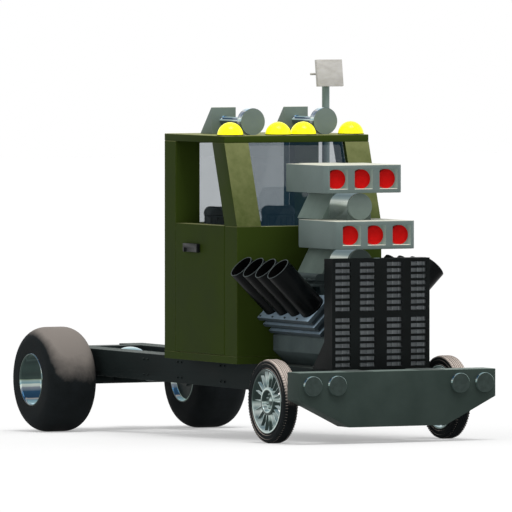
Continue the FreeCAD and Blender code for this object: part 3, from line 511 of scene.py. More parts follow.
# Yellow polycarbonate lenses: glossy, lit from inside, with a paler core
yellowLens = coated("Yellow polycarbonate", "FFF010", 0.18, 0.2, ("FFF20C", "FFF820", 0.05, (0.14, 0.22)),
                    (0.012, 0.00012))
shade(yellowLens, {"Emission Color": hexColour("FFFF1F"), "Emission Strength": 0.42})

# Drawn steel tube of the mast: grey-green zinc with fine lines along it
drawnSteel = coated(
    "Zinc-plated steel tube", "7D908C", 0.42, 0.2, ("728681", "8D9F9B", 0.12, (0.34, 0.5), (1, 1, 0.15)),
    (0.002, 0.00006, (1, 1, 0.04)))

# Brushed aluminium plate: a warm pale grey with lines and smears of oxide across it
brushedPlate = coated(
    "Brushed aluminium plate", "BEBCB7", 0.5, 0.3, ("B7B4AE", "C9C7C3", 0.05, (0.42, 0.6), (0.35, 1, 1)),
    (0.003, 0.00012, (0.08, 1, 1)), metallic=0.15)

# Dial faces: black printed card behind a clear cover, so it shines a little
dialCard = coated("Printed dial card", "0C0D0E", 0.35, 0.5, ("0B0C0D", "141617", 0.02, (0.3, 0.4)),
                  (0.002, 0.00003))

# Bright dial marks: enamel, warm white
dialMark = coated("White enamel marks", "D8D6CC", 0.5, 0.5, ("D0CEC4", "E0DED6", 0.01, (0.45, 0.55)),
                  (0.002, 0.00003))

print("materials made:", len(bpy.data.materials))


# Wheels. Each is modelled about the origin with its outside towards +X.

wheelPlaces = {
    "rear": {"x": 0.906, "y": 0.0},
    "front": {"x": 1.002, "y": -5.318},
}


def fitWheels(piece, name, end, part, material, replaces=True, smooth=35):
    spot = wheelPlaces[end]
    left = moved(piece, at(spot["x"], spot["y"], 0))
    right = copyOf(left, mirror)
    for side, one in (("left", left), ("right", right)):
        node = end + "_" + part + "_" + side
        finish(one, name + "_" + side, node, material, (node,) if replaces else (), smooth)


def tyreRing(wall, steps):          # a wall's profile from its bead to the crown, mirrored and closed
    return lathed(wall + [(-x, r) for x, r in reversed(wall)] + [wall[0]], steps)


rearTyre = {"half": 0.285, "radius": 0.562, "bead": 0.2806, "crown": 0.09, "side": 0.400, "arcSteps": 14,
            "steps": 128}
half, side, crown = rearTyre["half"], rearTyre["side"], rearTyre["crown"]
wall = [(half - 0.030, rearTyre["bead"]), (half - 0.007, rearTyre["bead"]), (half - 0.002, 0.2850),
        (half - 0.001, 0.3050), (half, 0.3240), (half, 0.3620)]
wall += [(crown + (half - crown) * math.cos(turn), side + (rearTyre["radius"] - side) * math.sin(turn))
         for turn in quarter(rearTyre["arcSteps"])]
fitWheels(tyreRing(wall, rearTyre["steps"]), "rear_tyre_slick", "rear", "tyre", slickRubber, smooth=50)

rearDish = {"half": 0.285, "rim": 0.280, "barrel": 0.265, "disc": -0.205, "nuts": 10, "nutCircle": 0.168,
            "nut": (0.015, 0.020), "capBolts": 8, "capCircle": 0.065, "capFace": -0.112,
            "capBolt": (0.007, 0.008)}
half, rim, barrel = rearDish["half"], rearDish["rim"], rearDish["barrel"]
dish = lathed([                     # out along the inside to the lip, and back along the outside
    (-0.222, 0.250), (-0.207, 0.2500), (-0.200, 0.2560), (0.030, 0.2560), (0.040, 0.2580),
    (0.046, barrel - 0.001), (0.236, barrel), (0.250, barrel - 0.004), (0.268, barrel - 0.0035),
    (0.279, barrel + 0.001), (half, barrel + 0.006), (half, rim - 0.003), (half - 0.003, rim), (0.19, rim),
    (-half + 0.003, rim), (-half, rim - 0.003), (-half, 0.2685), (-half + 0.004, 0.2660), (-0.230, 0.2660),
    (-0.2225, 0.2620), (-0.222, 0.250)], 128)
fitWheels(dish, "rear_rim_barrel", "rear", "rim", chromePlate)
hub = lathed([                      # from the cap out over its flange to the disc, and back behind it
    (-0.104, 0.0), (-0.104, 0.040), (-0.107, 0.047), (-0.112, 0.052), (-0.112, 0.078), (-0.116, 0.086),
    (-0.124, 0.090), (-0.150, 0.092), (-0.156, 0.100), (-0.190, 0.110), (-0.203, 0.116), (-0.205, 0.124),
    (-0.205, 0.196), (-0.208, 0.202), (-0.214, 0.206), (-0.214, 0.252), (-0.224, 0.252), (-0.225, 0.110),
    (-0.254, 0.108), (-0.254, 0.0352), (-0.110, 0.0352), (-0.110, 0.0)], 72)
nuts = scattered(boltHead(*rearDish["nut"]),
                 around(rearDish["nuts"], at(rearDish["disc"], 0, rearDish["nutCircle"])))
capBolts = scattered(boltHead(*rearDish["capBolt"]),
                     around(rearDish["capBolts"], at(rearDish["capFace"], 0, rearDish["capCircle"])))
fitWheels(joined([hub, nuts, capBolts]), "rear_rim_centre", "rear", "rim", lampCover, replaces=False)

frontTyre = {"half": 0.078, "radius": 0.430, "bead": 0.3286, "treadDepth": 0.006, "ribs": (0.034, 0.014),
             "blocks": 84, "blockHalf": 0.0095, "slope": 0.009, "steps": 120}
half, radius = frontTyre["half"], frontTyre["radius"]
tread = radius - frontTyre["treadDepth"]
wall = [(half - 0.014, frontTyre["bead"]), (half - 0.005, frontTyre["bead"]), (half - 0.002, 0.3320),
        (half - 0.002, 0.3400), (half - 0.006, 0.3430), (half - 0.006, 0.3460), (half - 0.001, 0.3500),
        (half, 0.3600), (half, 0.3830), (half - 0.003, 0.3860), (half - 0.003, 0.3885), (half, 0.3910),
        (half - 0.003, 0.4060), (half - 0.010, 0.4160), (half - 0.020, tread)]
for rib in frontTyre["ribs"]:
    wall += [(rib + 0.004, tread), (rib + 0.003, radius), (rib - 0.009, radius), (rib - 0.010, tread)]
lug = block((half - 0.033, -frontTyre["blockHalf"], tread - 0.004),
            (half - 0.006, frontTyre["blockHalf"], radius), 0.0015, 1)
edit(lug, "VERT")
pickVertices(lug, lambda point: point.x > half - 0.010 and point.z > tread)
bpy.ops.transform.translate(value=(0, 0, -frontTyre["slope"]))      # it slopes down at the shoulder
bpy.ops.object.mode_set(mode="OBJECT")
blocks = frontTyre["blocks"]        # on each shoulder, set half a block apart
lugs = scattered(lug, around(blocks, Matrix.Identity(4)) + around(blocks, mirror, 0.5))
fitWheels(joined([tyreRing(wall, frontTyre["steps"]), lugs]), "front_tyre_ribbed", "front", "tyre",
          treadRubber, smooth=40)

frontWheel = {"half": 0.078, "rim": 0.328, "spokes": 20, "hubDepth": 0.072, "nuts": 8, "nut": (0.0105, 0.014),
              "nutFace": 0.0225, "nutCircle": 0.074}
half, rim = frontWheel["half"], frontWheel["rim"]
barrel = lathed([                   # over the outside between its lips, and back along the inside
    (half, rim - 0.002), (half - 0.002, rim), (-half + 0.002, rim), (-half, rim - 0.002), (-half, rim - 0.014),
    (-half + 0.005, rim - 0.017), (-half + 0.014, rim - 0.013), (0, rim - 0.012), (half - 0.018, rim - 0.013),
    (half - 0.010, rim - 0.020), (half - 0.003, rim - 0.019), (half, rim - 0.014), (half, rim - 0.002)], 128)
hubInside = half - 0.008 - frontWheel["hubDepth"]
hub = lathed([                      # the cap, the recess round it, the ring that holds the spokes, and back
    (0.0320, 0.0), (0.0320, 0.030), (0.0290, 0.036), (0.0220, 0.040), (0.0210, 0.100), (0.0230, 0.1075),
    (0.0640, 0.1085), (half - 0.0085, 0.1110), (half - 0.008, 0.1140), (half - 0.008, 0.1380),
    (half - 0.011, 0.1425), (half - 0.016, 0.143), (hubInside + 0.003, 0.143), (hubInside, 0.140),
    (hubInside, 0.072), (-0.060, 0.070), (-0.060, 0.0302), (hubInside, 0.0302), (hubInside, 0.0)], 96)
spoke = block((hubInside + 0.004, -0.008, 0.132), (hubInside + 0.052, 0.008, rim - 0.010))
edit(spoke, "VERT")
pickVertices(spoke, lambda point: point.z > 0.2)
bpy.ops.transform.resize(value=(0.72, 0.62, 1), center_override=(hubInside + 0.028, 0, rim))
bpy.ops.object.mode_set(mode="OBJECT")
modify(spoke, "BEVEL", width=0.004, segments=2)
spokes = scattered(spoke, around(frontWheel["spokes"], Matrix.Identity(4)))
nuts = scattered(boltHead(*frontWheel["nut"]),
                 around(frontWheel["nuts"], at(frontWheel["nutFace"], 0, frontWheel["nutCircle"]), 0.5))
fitWheels(joined([barrel, hub, spokes, nuts]), "front_rim_spoked", "front", "rim", chromeSpokes)
print("wheels made")


# Running gear and frame

softened("rail_right", chassisBlack, "frame_rail_right", 0.005)
softened("rail_left", chassisBlack, "frame_rail_left", 0.005)
softened("crossmembers", chassisBlack, "frame_crossmembers", 0.004)
softened("rear_axle", chassisBlack, "rear_axle_housing", 0.003, smooth=40)
softened("driveline", castIron, "gearbox_and_shaft", 0.006, smooth=40)
frontBeam = softened("front_axle", chassisBlack, "front_axle_beam", 0.004, smooth=40)
# Its two bores are opened by a hair, so that the facets of the kingpins turn clear of theirs
pinBore = {"x": 0.820, "y": wheelPlaces["front"]["y"], "reach": 0.0235, "opened": 0.0008}
for vertex in frontBeam.data.vertices:
    spot = levelAgain @ vertex.co
    across = Vector((abs(spot.x) - pinBore["x"], spot.y - pinBore["y"], 0))
    if 0 < across.length < pinBore["reach"]:
        outwards = across.normalized() * pinBore["opened"]
        vertex.co = stance @ (spot + Vector((math.copysign(1, spot.x) * outwards.x, outwards.y, 0)))
softened("knuckle_right", chassisBlack, "knuckle_right_forged", 0.003, smooth=40)
softened("knuckle_left", chassisBlack, "knuckle_left_forged", 0.003, smooth=40)
softened("tie_rod", chassisBlack, "tie_rod_tube", 0.0015, smooth=40)

railBolts = {"outside": 0.555, "groups": (-5.40, -3.30, -2.30, -1.50, 0.345, 0.450), "apart": 0.045,
             "rise": (0.105, 0.270), "bolt": (0.011, 0.012)}
places = [flip @ at(railBolts["outside"], middle + shift, rise) for flip in bothSides
          for middle in railBolts["groups"] for shift in (-railBolts["apart"], railBolts["apart"])
          for rise in railBolts["rise"]]
finish(scattered(boltHead(*railBolts["bolt"]), places), "frame_bolts", "rail_left", chassisBlack, smooth=30)

differential = {"centre": 0.078, "radius": 0.2515, "flange": 0.264, "lowest": 4, "steps": 24,
                "bolts": 16, "boltCircle": 0.2575, "boltSeat": 0.0155, "bolt": (0.005, 0.006)}
flange, radius = differential["flange"], differential["radius"]
profile = [(0.0, 0.0), (0.0, flange - 0.002), (0.002, flange), (0.014, flange), (0.016, flange - 0.002)]
profile += [(radius * math.sin(turn), radius * math.cos(turn))
            for turn in quarter(differential["steps"], differential["lowest"])[:-1]] + [(radius, 0.0)]
cover = moved(lathed(profile, 96), at(0, 0, differential["centre"]) @ alongZ)
finish(cover, "differential_dome", "rear_axle", chromePlate, smooth=40)
seat = at(0, 0, differential["centre"] + differential["boltSeat"])
ring = around(differential["bolts"], at(differential["boltCircle"], 0, 0) @ alongZ, axis="Z")
finish(scattered(boltHead(*differential["bolt"]), [seat @ place for place in ring]), "differential_bolts",
       "rear_axle", castIron, smooth=30)
print("frame made")


# Bumper and its lamps

softened("bumper", bumperPaint, "bumper_pressed", 0.006, 3)
lampFace = levelBox("bumper_lamps")[0].y
bumperLamp = {"places": (0.709, 0.992), "height": 0.190, "depth": 0.037}
bezel = lathed([(0.0, 0.0), (0.0, 0.097), (0.004, 0.100), (0.0345, 0.100), (0.0350, 0.0990), (0.0350, 0.097),
                (0.030, 0.096), (0.030, 0.0)], 72)
cover = lathed([(0.010, 0.0), (0.010, 0.0965), (0.0355, 0.0970), (0.0365, 0.0960), (0.0370, 0.060),
                (0.0370, 0.0)], 72)
spots = [flip @ at(x, lampFace + bumperLamp["depth"], bumperLamp["height"]) @ againstY
         for flip in bothSides for x in bumperLamp["places"]]
finish(scattered(bezel, spots), "bumper_lamp_bezels", "bumper_lamps", chromePlate, smooth=40)
finish(scattered(cover, spots), "bumper_lamp_covers", "bumper_lamps", lampCover, ("bumper_lamps",), smooth=40)
print("bumper made")


# Radiator

softened("radiator_shell", shellBlack, "radiator_shell_pressed", 0.003, 1)
low, high = levelBox("radiator_core")
finPack = {"fins": 66, "finHalf": 0.0011, "finDepth": 0.028, "tubes": 15, "tubeHalf": 0.006,
           "tubeFront": 0.004, "tubeRear": 0.030, "backing": 0.024}
core = [block((low.x, low.y + finPack["backing"], low.z), high, 0.002, 1)]
for number in range(finPack["tubes"]):
    x = low.x + (number + 0.5) * (high.x - low.x) / finPack["tubes"]
    core.append(block((x - finPack["tubeHalf"], low.y + finPack["tubeFront"], low.z),
                      (x + finPack["tubeHalf"], low.y + finPack["tubeRear"], high.z), 0.003, 1))
for number in range(finPack["fins"]):
    z = low.z + (number + 0.5) * (high.z - low.z) / finPack["fins"]
    core.append(block((low.x, low.y, z - finPack["finHalf"]),
                      (high.x, low.y + finPack["finDepth"], z + finPack["finHalf"])))
finish(joined(core), "radiator_matrix", "radiator_core", finStock, ("radiator_core",), smooth=25)
low, high = levelBox("radiator_shell")
filler = {"behind": 0.09, "seat": 0.0235, "height": 0.024}
cap = lathed([(0.0, 0.0), (0.0, 0.045), (0.010, 0.048), (0.018, 0.048), (0.022, 0.044),
              (filler["height"], 0.030), (filler["height"], 0.0)], 48)
finish(moved(cap, at(0, low.y + filler["behind"], high.z - filler["seat"]) @ alongZ), "radiator_cap",
       "radiator_shell", chromePlate)
print("radiator made")


# Engine

softened("engine_block", castIron, "engine_block_cast", 0.006, 3, smooth=22)
softened("cylinder_banks", castFins, "cylinder_bank_fins", 0.005)
softened("intake_manifold", castIron, "intake_cast", 0.004)

bank = {"seat": (0.49328, 0.94108), "angle": 45, "bolts": (-5.0905, -4.8155, -4.5405, -4.2655),
        "boltEdge": 0.160, "bolt": (0.010, 0.010)}
lean = turned(-bank["angle"], "Y")


def onBank(y, across=0.0):          # places on both banks' faces, leaning outwards
    return [flip @ at(bank["seat"][0], y, bank["seat"][1]) @ lean @ at(0, 0, across) for flip in bothSides]


pipe = {"radius": 0.136, "length": 0.580, "inside": 0.1275, "floor": 0.040,
        "places": (-5.228, -4.953, -4.678, -4.403)}
outer, length, inside = pipe["radius"], pipe["length"], pipe["inside"]
tube = lathed([                     # a groove near its foot, and a shoulder inside its mouth
    (0.0, 0.0), (0.0, outer - 0.002), (0.002, outer), (0.020, outer), (0.022, outer - 0.002),
    (0.026, outer - 0.002), (0.028, outer), (length - 0.004, outer), (length - 0.004, outer - 0.004),
    (length - 0.012, outer - 0.004), (length - 0.012, 0.0)], 72)
edit(tube)
pickFaces(tube, lambda spot, normal: spot.x > length - 0.013 and normal.x > 0.9)
bpy.ops.mesh.delete(type="FACE")
bpy.ops.object.mode_set(mode="OBJECT")
lining = lathed([(length - 0.003, inside), (length - 0.012, inside), (pipe["floor"], inside),
                 (pipe["floor"], 0.0)], 72)
lining.data.flip_normals()          # it is seen from inside
lip = lathed([(length - 0.006, outer), (length - 0.0015, outer), (length, outer - 0.0015),
              (length, inside + 0.0015), (length - 0.0015, inside), (length - 0.006, inside),
              (length - 0.006, outer)], 72)
spots = [place for y in pipe["places"] for place in onBank(y)]
finish(scattered(tube, spots), "exhaust_pipe_tubes", "exhaust_pipes", pipeEnamel, ("exhaust_pipes",), smooth=40)
finish(scattered(lining, spots), "exhaust_pipe_linings", "exhaust_pipes", pipeSoot, smooth=40)
finish(scattered(lip, spots), "exhaust_pipe_lips", "exhaust_pipes", pipeLip, smooth=40)

places = [place for y in bank["bolts"] for across in (-bank["boltEdge"], bank["boltEdge"])
          for place in onBank(y, across)]
finish(scattered(boltHead(*bank["bolt"]), places), "bank_bolts", "cylinder_banks", pipeLip, smooth=30)

intake = {"half": 0.316, "top": 1.224, "first": 0.05, "apart": 0.113, "bolts": 5, "bolt": (0.008, 0.008)}
start = levelBox("intake_manifold")[0].y + intake["first"]
places = [flip @ at(intake["half"], start + number * intake["apart"], intake["top"]) @ alongZ
          for flip in bothSides for number in range(intake["bolts"])]
finish(scattered(boltHead(*intake["bolt"]), places), "intake_bolts", "intake_manifold", pipeLip, smooth=30)
print("engine made")


# Blowers, their drives, scoops and butterflies

softened("blowers", blowerCast, "blower_cases", 0.006, 3)
softened("blower_drives", polishedAlloy, "blower_drive_housings", 0.005, 3, smooth=40)
scoopBoxes = softened("scoops", scoopPaint, "scoop_boxes", 0.005, 3)

drive = {"front": -5.328, "heights": (1.403, 1.980)}
disc = lathed([(-0.030, 0.0), (-0.030, 0.1375), (-0.003, 0.1380), (0.0000, 0.1360), (0.0012, 0.1330),
               (0.0012, 0.0)], 96)
spots = [at(0, drive["front"], z) @ againstY for z in drive["heights"]]
finish(scattered(disc, spots), "blower_drive_discs", "blower_drives", discPaint, smooth=40)

throat = {"x": (-0.288, 0.0, 0.288), "fronts": ((-5.696, 1.6975), (-5.409, 2.2655)), "lip": 0.001,
          "depth": 0.25, "halfWidth": 0.1045, "halfHeight": 0.1025, "inset": 0.046}
# The faces inside the mouths take the glowing lining, painted light in place of their shade
scoopBoxes.data.materials.append(scoopLining)
for face in scoopBoxes.data.polygons:
    spot = levelAgain @ face.center
    across = min(abs(spot.x - x) for x in throat["x"])
    for front, height in throat["fronts"]:
        within = throat["lip"] < spot.y - front < throat["depth"]
        if within and across < throat["halfWidth"] and abs(spot.z - height) < throat["halfHeight"]:
            face.material_index = 1
plate = lathed([(0.0, 0.0), (0.0, 0.0950), (0.0012, 0.0975), (0.0040, 0.099), (0.050, 0.099), (0.050, 0.020),
                (0.066, 0.020), (0.066, 0.0)], 72)
spots = [at(x, front + throat["inset"], height) @ alongY
         for front, height in throat["fronts"] for x in throat["x"]]
finish(scattered(plate, spots), "red_butterflies", "butterflies", redLacquer, ("butterflies",), smooth=40)
print("blowers made")


# Cab

softened("cab_floor", oliveEnamel, "cab_floor_pan", 0.005)
softened("cab_cowl", oliveEnamel, "cab_cowl_panel", 0.005)
softened("windscreen_posts", oliveEnamel, "windscreen_posts_pressed", 0.004)
softened("cab_rear_wall", oliveEnamel, "cab_rear_panel", 0.006)
softened("cab_roof", oliveEnamel, "cab_roof_panel", 0.007, 3)
for side in ("right", "left"):
    softened("door_" + side, oliveEnamel, "door_panel_" + side, 0.004)
    softened("door_handle_" + side, blackNylon, "door_handle_moulded_" + side, 0.005, 3)

for slot in frame["nodes"]["cab_glass"].material_slots:
    slot.material = tintedGlass

doorCard = {"inside": 0.685, "front": -3.86, "rear": -2.87, "low": 0.52, "high": 1.70, "border": 0.06,
            "groove": 0.004, "restFront": -3.55, "restRear": -3.05, "restLow": 1.22, "restHigh": 1.27}
inside = doorCard["inside"]
card = block((inside - 0.010, doorCard["front"], doorCard["low"]),
             (inside + 0.004, doorCard["rear"], doorCard["high"]), 0.004)
edit(card)
pickFaces(card, lambda spot, normal: normal.x < -0.9)
bpy.ops.mesh.inset(thickness=doorCard["border"], depth=0)
bpy.ops.mesh.inset(thickness=doorCard["groove"], depth=-doorCard["groove"])
bpy.ops.object.mode_set(mode="OBJECT")
armRest = block((inside - 0.050, doorCard["restFront"], doorCard["restLow"]),
                (inside - 0.008, doorCard["restRear"], doorCard["restHigh"]), 0.015, 3)
leftCard = joined([card, armRest])
rightCard = copyOf(leftCard, mirror)
finish(leftCard, "door_card_left", "door_left", seatVinyl, smooth=30)
finish(rightCard, "door_card_right", "door_right", seatVinyl, smooth=30)

floorMat = {"places": (-0.29, 0.29), "half": 0.24, "front": -3.95, "rear": -3.36, "border": 0.02,
            "ridges": 9, "firstRidge": -0.19, "apart": 0.0475, "ridgeHalf": 0.006}
mats = []
for x in floorMat["places"]:
    mat = block((x - floorMat["half"], floorMat["front"], 0.4050),
                (x + floorMat["half"], floorMat["rear"], 0.4130), 0.003, 1)
    edit(mat)
    pickFaces(mat, lambda spot, normal: normal.z > 0.9)
    bpy.ops.mesh.inset(thickness=floorMat["border"], depth=0)
    bpy.ops.mesh.inset(thickness=0.003, depth=-0.003)
    bpy.ops.object.mode_set(mode="OBJECT")
    mats.append(mat)
    for number in range(floorMat["ridges"]):
        ridge = x + floorMat["firstRidge"] + number * floorMat["apart"]
        mats.append(block((ridge - floorMat["ridgeHalf"], floorMat["front"] + 0.04, 0.409),
                          (ridge + floorMat["ridgeHalf"], floorMat["rear"] - 0.04, 0.4145), 0.002, 1))
finish(joined(mats), "floor_mats", "cab_floor", blackRubber, smooth=30)

pedal = {"places": (0.20, 0.30, 0.42), "half": 0.032, "face": -3.945, "low": 0.520, "high": 0.610,
         "armHalf": 0.008, "treads": 4, "treadHalf": 0.026, "firstTread": 0.535, "apart": 0.020}
pedals = []
for x in pedal["places"]:
    pedals.append(block((x - pedal["half"], pedal["face"] - 0.020, pedal["low"]),
                        (x + pedal["half"], pedal["face"], pedal["high"]), 0.006))
    pedals.append(block((x - pedal["armHalf"], pedal["face"] - 0.130, 0.545),
                        (x + pedal["armHalf"], pedal["face"] - 0.010, 0.562), 0.004))
    for number in range(pedal["treads"]):
        z = pedal["firstTread"] + number * pedal["apart"]
        pedals.append(block((x - pedal["treadHalf"], pedal["face"] - 0.0005, z),
                            (x + pedal["treadHalf"], pedal["face"] + 0.0035, z + 0.009), 0.0015, 1))
finish(joined(pedals), "pedals", "cab_cowl", blackRubber, smooth=30)

gear = {"foot": (0.02, -3.55, 0.405), "lean": -8, "length": 0.420, "knobAt": 0.405}
rod = lathed([(0.0, 0.0), (0.0, 0.010), (gear["length"], 0.009), (gear["length"], 0.0)], 24)
knob = lathed([(0.0, 0.0), (0.004, 0.016), (0.020, 0.026), (0.038, 0.026), (0.052, 0.014), (0.056, 0.0)], 32)
boot = lathed([(0.0, 0.0), (0.0, 0.075), (0.012, 0.068), (0.020, 0.050), (0.028, 0.046), (0.036, 0.030),
               (0.044, 0.026), (0.050, 0.0105), (0.050, 0.0)], 36)
lever = joined([rod, moved(knob, at(gear["knobAt"], 0, 0)), boot])
finish(moved(lever, at(*gear["foot"]) @ turned(gear["lean"], "X") @ alongZ), "gear_lever", "cab_floor",
       blackRubber, smooth=40)

dial = {"face": -3.838, "height": 1.41,
        "places": ((0.236, 0.055), (0.436, 0.055), (0.336, 0.036), (0.12, 0.036)),      # across, radius
        "marks": 11, "firstMark": -135, "apart": 27, "hand": -60}
bezels, cards, marks = [], [], []
for x, size in dial["places"]:
    spot = at(x, dial["face"], dial["height"]) @ alongY
    ring = lathed([(0.0, size - 0.008), (0.0, size), (0.006, size), (0.009, size - 0.003),
                   (0.008, size - 0.007), (0.004, size - 0.008), (0.0, size - 0.008)], 48)
    bezels.append(moved(ring, spot))
    card = lathed([(0.0, 0.0), (0.0, size - 0.004), (0.003, size - 0.005), (0.0035, 0.0)], 36)
    cards.append(moved(card, spot))
    tick = block((0.0034, -0.0008, size * 0.66), (0.0042, 0.0008, size * 0.80))
    turns = [turned(dial["firstMark"] + dial["apart"] * number, "X") for number in range(dial["marks"])]
    marks.append(scattered(tick, [spot @ turn for turn in turns]))
    hand = block((0.0045, -0.0014, -0.006), (0.0053, 0.0014, size * 0.62))
    marks.append(moved(hand, spot @ turned(dial["hand"], "X")))
finish(joined(bezels), "dial_bezels", "cab_cowl", chromePlate, smooth=40)
finish(joined(cards), "dial_faces", "cab_cowl", dialCard, smooth=40)
finish(joined(marks), "dial_marks", "cab_cowl", dialMark, smooth=30)
print("cab made")


# Seats: pads swollen from their shapes by a cloth simulation, then sewn into channels

low, high = levelBox("seats")
pad = {"x": 0.336, "half": 0.225, "rear": high.y, "front": low.y, "backThickness": 0.103, "bottom": low.z,
       "cushionTop": 0.900, "top": high.z, "corner": 0.09, "voxel": 0.007, "cap": 0.024, "inset": 0.016,
       "pressure": 4.0, "frames": 20}
sewn = {"seams": (-0.135, -0.0675, 0.0, 0.0675, 0.135), "half": 0.17, "lowest": 1.02, "belowTop": 0.14,
        "fade": 0.03, "depth": 0.010, "headDepth": 0.008, "width": 0.006}


def swollen(piece):                 # blown out by no more than the cap
    modify(piece, "REMESH", mode="VOXEL", voxel_size=pad["voxel"])
    before = [vertex.co.copy() for vertex in piece.data.vertices]
    only(piece)
    cloth = piece.modifiers.new("Cloth", "CLOTH")
    cloth.settings.use_pressure = True
    cloth.settings.uniform_pressure_force = pad["pressure"]
    cloth.settings.effector_weights.gravity = 0.0
    cloth.point_cache.frame_start = 1
    cloth.point_cache.frame_end = pad["frames"]
    for number in range(pad["frames"]):
        bpy.context.scene.frame_set(number + 1)
    bpy.ops.object.modifier_apply(modifier=cloth.name)
    bpy.context.scene.frame_set(1)
    for vertex, start in zip(piece.data.vertices, before):
        shift = vertex.co - start
        if shift.length > pad["cap"]:
            vertex.co = start + shift.normalized() * pad["cap"]


def channel(across):                # how deep the sewn channels are at a place across the pad
    nearest = min(abs(across - seam) for seam in sewn["seams"])
    return sewn["depth"] * math.exp(-(nearest / sewn["width"]) ** 2)


inset = pad["inset"]
backFront = pad["rear"] - pad["backThickness"]
back = block((-pad["half"] + inset, backFront + inset + 0.006, pad["cushionTop"] - 0.10),
             (pad["half"] - inset, pad["rear"] - 0.010, pad["top"] - inset))
edit(back, "EDGE")
mesh = bmesh.from_edit_mesh(back.data)
for edge in mesh.edges:
    ends = [vertex.co for vertex in edge.verts]
    edge.select_set(all(end.z > pad["top"] - 0.05 for end in ends) and abs(ends[0].y - ends[1].y) > 0.02)
bmesh.update_edit_mesh(back.data)
bpy.ops.mesh.bevel(offset=pad["corner"], segments=8, affect="EDGES")
bpy.ops.object.mode_set(mode="OBJECT")
modify(back, "BEVEL", width=0.018, segments=3, limit_method="ANGLE", angle_limit=math.radians(50))
swollen(back)
for vertex in back.data.vertices:
    vertex.co.y = min(vertex.co.y, pad["rear"] - 0.001)
modify(back, "SUBSURF", levels=1, render_levels=1)
headSeam = pad["top"] - sewn["belowTop"]
for vertex in back.data.vertices:
    spot = vertex.co
    if spot.y < backFront + 0.045 and sewn["lowest"] < spot.z < headSeam and abs(spot.x) < sewn["half"]:
        fade = min(1, (spot.z - sewn["lowest"]) / sewn["fade"], (headSeam - spot.z) / sewn["fade"])
        vertex.co.y += fade * channel(spot.x)
    if abs(spot.z - headSeam) < 0.02 and spot.y < backFront + 0.05:
        vertex.co.y += sewn["headDepth"] * math.exp(-((spot.z - headSeam) / sewn["width"]) ** 2)

cushion = block((-pad["half"] + inset, pad["front"] + inset, pad["bottom"] + 0.012),
                (pad["half"] - inset, backFront - 0.004, pad["cushionTop"] - inset), 0.022, 3)
swollen(cushion)
for vertex in cushion.data.vertices:
    vertex.co.z = max(vertex.co.z, pad["bottom"] + 0.001)
    vertex.co.y = min(vertex.co.y, backFront + 0.004)
modify(cushion, "SUBSURF", levels=1, render_levels=1)
for vertex in cushion.data.vertices:
    spot = vertex.co
    begins = pad["front"] + 0.07
    if spot.z > pad["cushionTop"] - 0.06 and abs(spot.x) < sewn["half"] and spot.y > begins:
        vertex.co.z -= min(1, (spot.y - begins) / sewn["fade"]) * channel(spot.x)
for side, place in (("left", pad["x"]), ("right", -pad["x"])):
    for name, shape in (("seat_back_", back), ("seat_cushion_", cushion)):
        one = finish(copyOf(shape, at(place, 0, 0)), name + side, "seats", seatVinyl,
                     ("seats",) if name == "seat_back_" else (), smooth=180)
bpy.data.objects.remove(back)
bpy.data.objects.remove(cushion)
print("seats made")


# Steering wheel: a padded rim on three spokes, with a boss and its column

wheel = {"foot": (0.336, -3.839, 1.370), "length": 0.260, "angle": 35, "ring": 0.205, "grip": 0.0148,
         "spokes": (90, 180, 270)}
column = at(*wheel["foot"]) @ turned(wheel["angle"], "X") @ alongY
hubPlace = column @ at(wheel["length"], 0, 0)
deselect()
bpy.ops.mesh.primitive_torus_add(major_radius=wheel["ring"], minor_radius=wheel["grip"], major_segments=96,
                                 minor_segments=20)
ring = bpy.context.object
moved(ring, hubPlace @ turned(90, "Y"))
shroud = moved(lathed([(-0.010, 0.0), (-0.010, 0.030), (0.016, 0.0295), (0.020, 0.0245), (0.215, 0.0230),
                       (0.225, 0.0280), (0.244, 0.0300), (0.250, 0.0400), (0.262, 0.0445), (0.274, 0.0420),
                       (0.280, 0.0300), (0.280, 0.0)], 48), column)
spokes = []
for turn in wheel["spokes"]:
    arm = block((-0.004, -0.011, 0.030), (0.004, 0.011, wheel["ring"] - 0.004), 0.003)
    spokes.append(moved(arm, hubPlace @ turned(turn, "X")))
button = moved(lathed([(0.276, 0.0), (0.276, 0.022), (0.284, 0.021), (0.286, 0.0)], 36), column)
finish(joined([ring, shroud, button] + spokes), "steering_wheel_padded", "steering_wheel", blackRubber,
       ("steering_wheel",), smooth=40)
print("steering wheel made")


# Roof lamps and horns

low, high = levelBox("roof_lamps")
roofLamp = {"height": 0.138, "radius": 0.1355, "places": (0.147, 0.706), "lowest": 3, "steps": 18}
tall, radius = roofLamp["height"], roofLamp["radius"]
profile = [(0.0, 0.0), (0.0, 0.132)]
profile += [((tall - 0.001) * math.sin(turn) + 0.0005, radius * math.cos(turn))
            for turn in quarter(roofLamp["steps"], roofLamp["lowest"])[:-1]] + [(tall, 0.0)]
spots = [flip @ at(x, (low.y + high.y) / 2, low.z) @ alongZ for flip in bothSides for x in roofLamp["places"]]
finish(scattered(lathed(profile, 72), spots), "roof_lamp_lenses", "roof_lamps", yellowLens, ("roof_lamps",),
       smooth=60)
collar = lathed([(0.0, 0.128), (0.0, 0.138), (0.007, 0.138), (0.009, 0.136), (0.009, 0.128), (0.0, 0.128)], 72)
finish(scattered(collar, spots), "roof_lamp_collars", "roof_lamps", blackRubber, smooth=40)

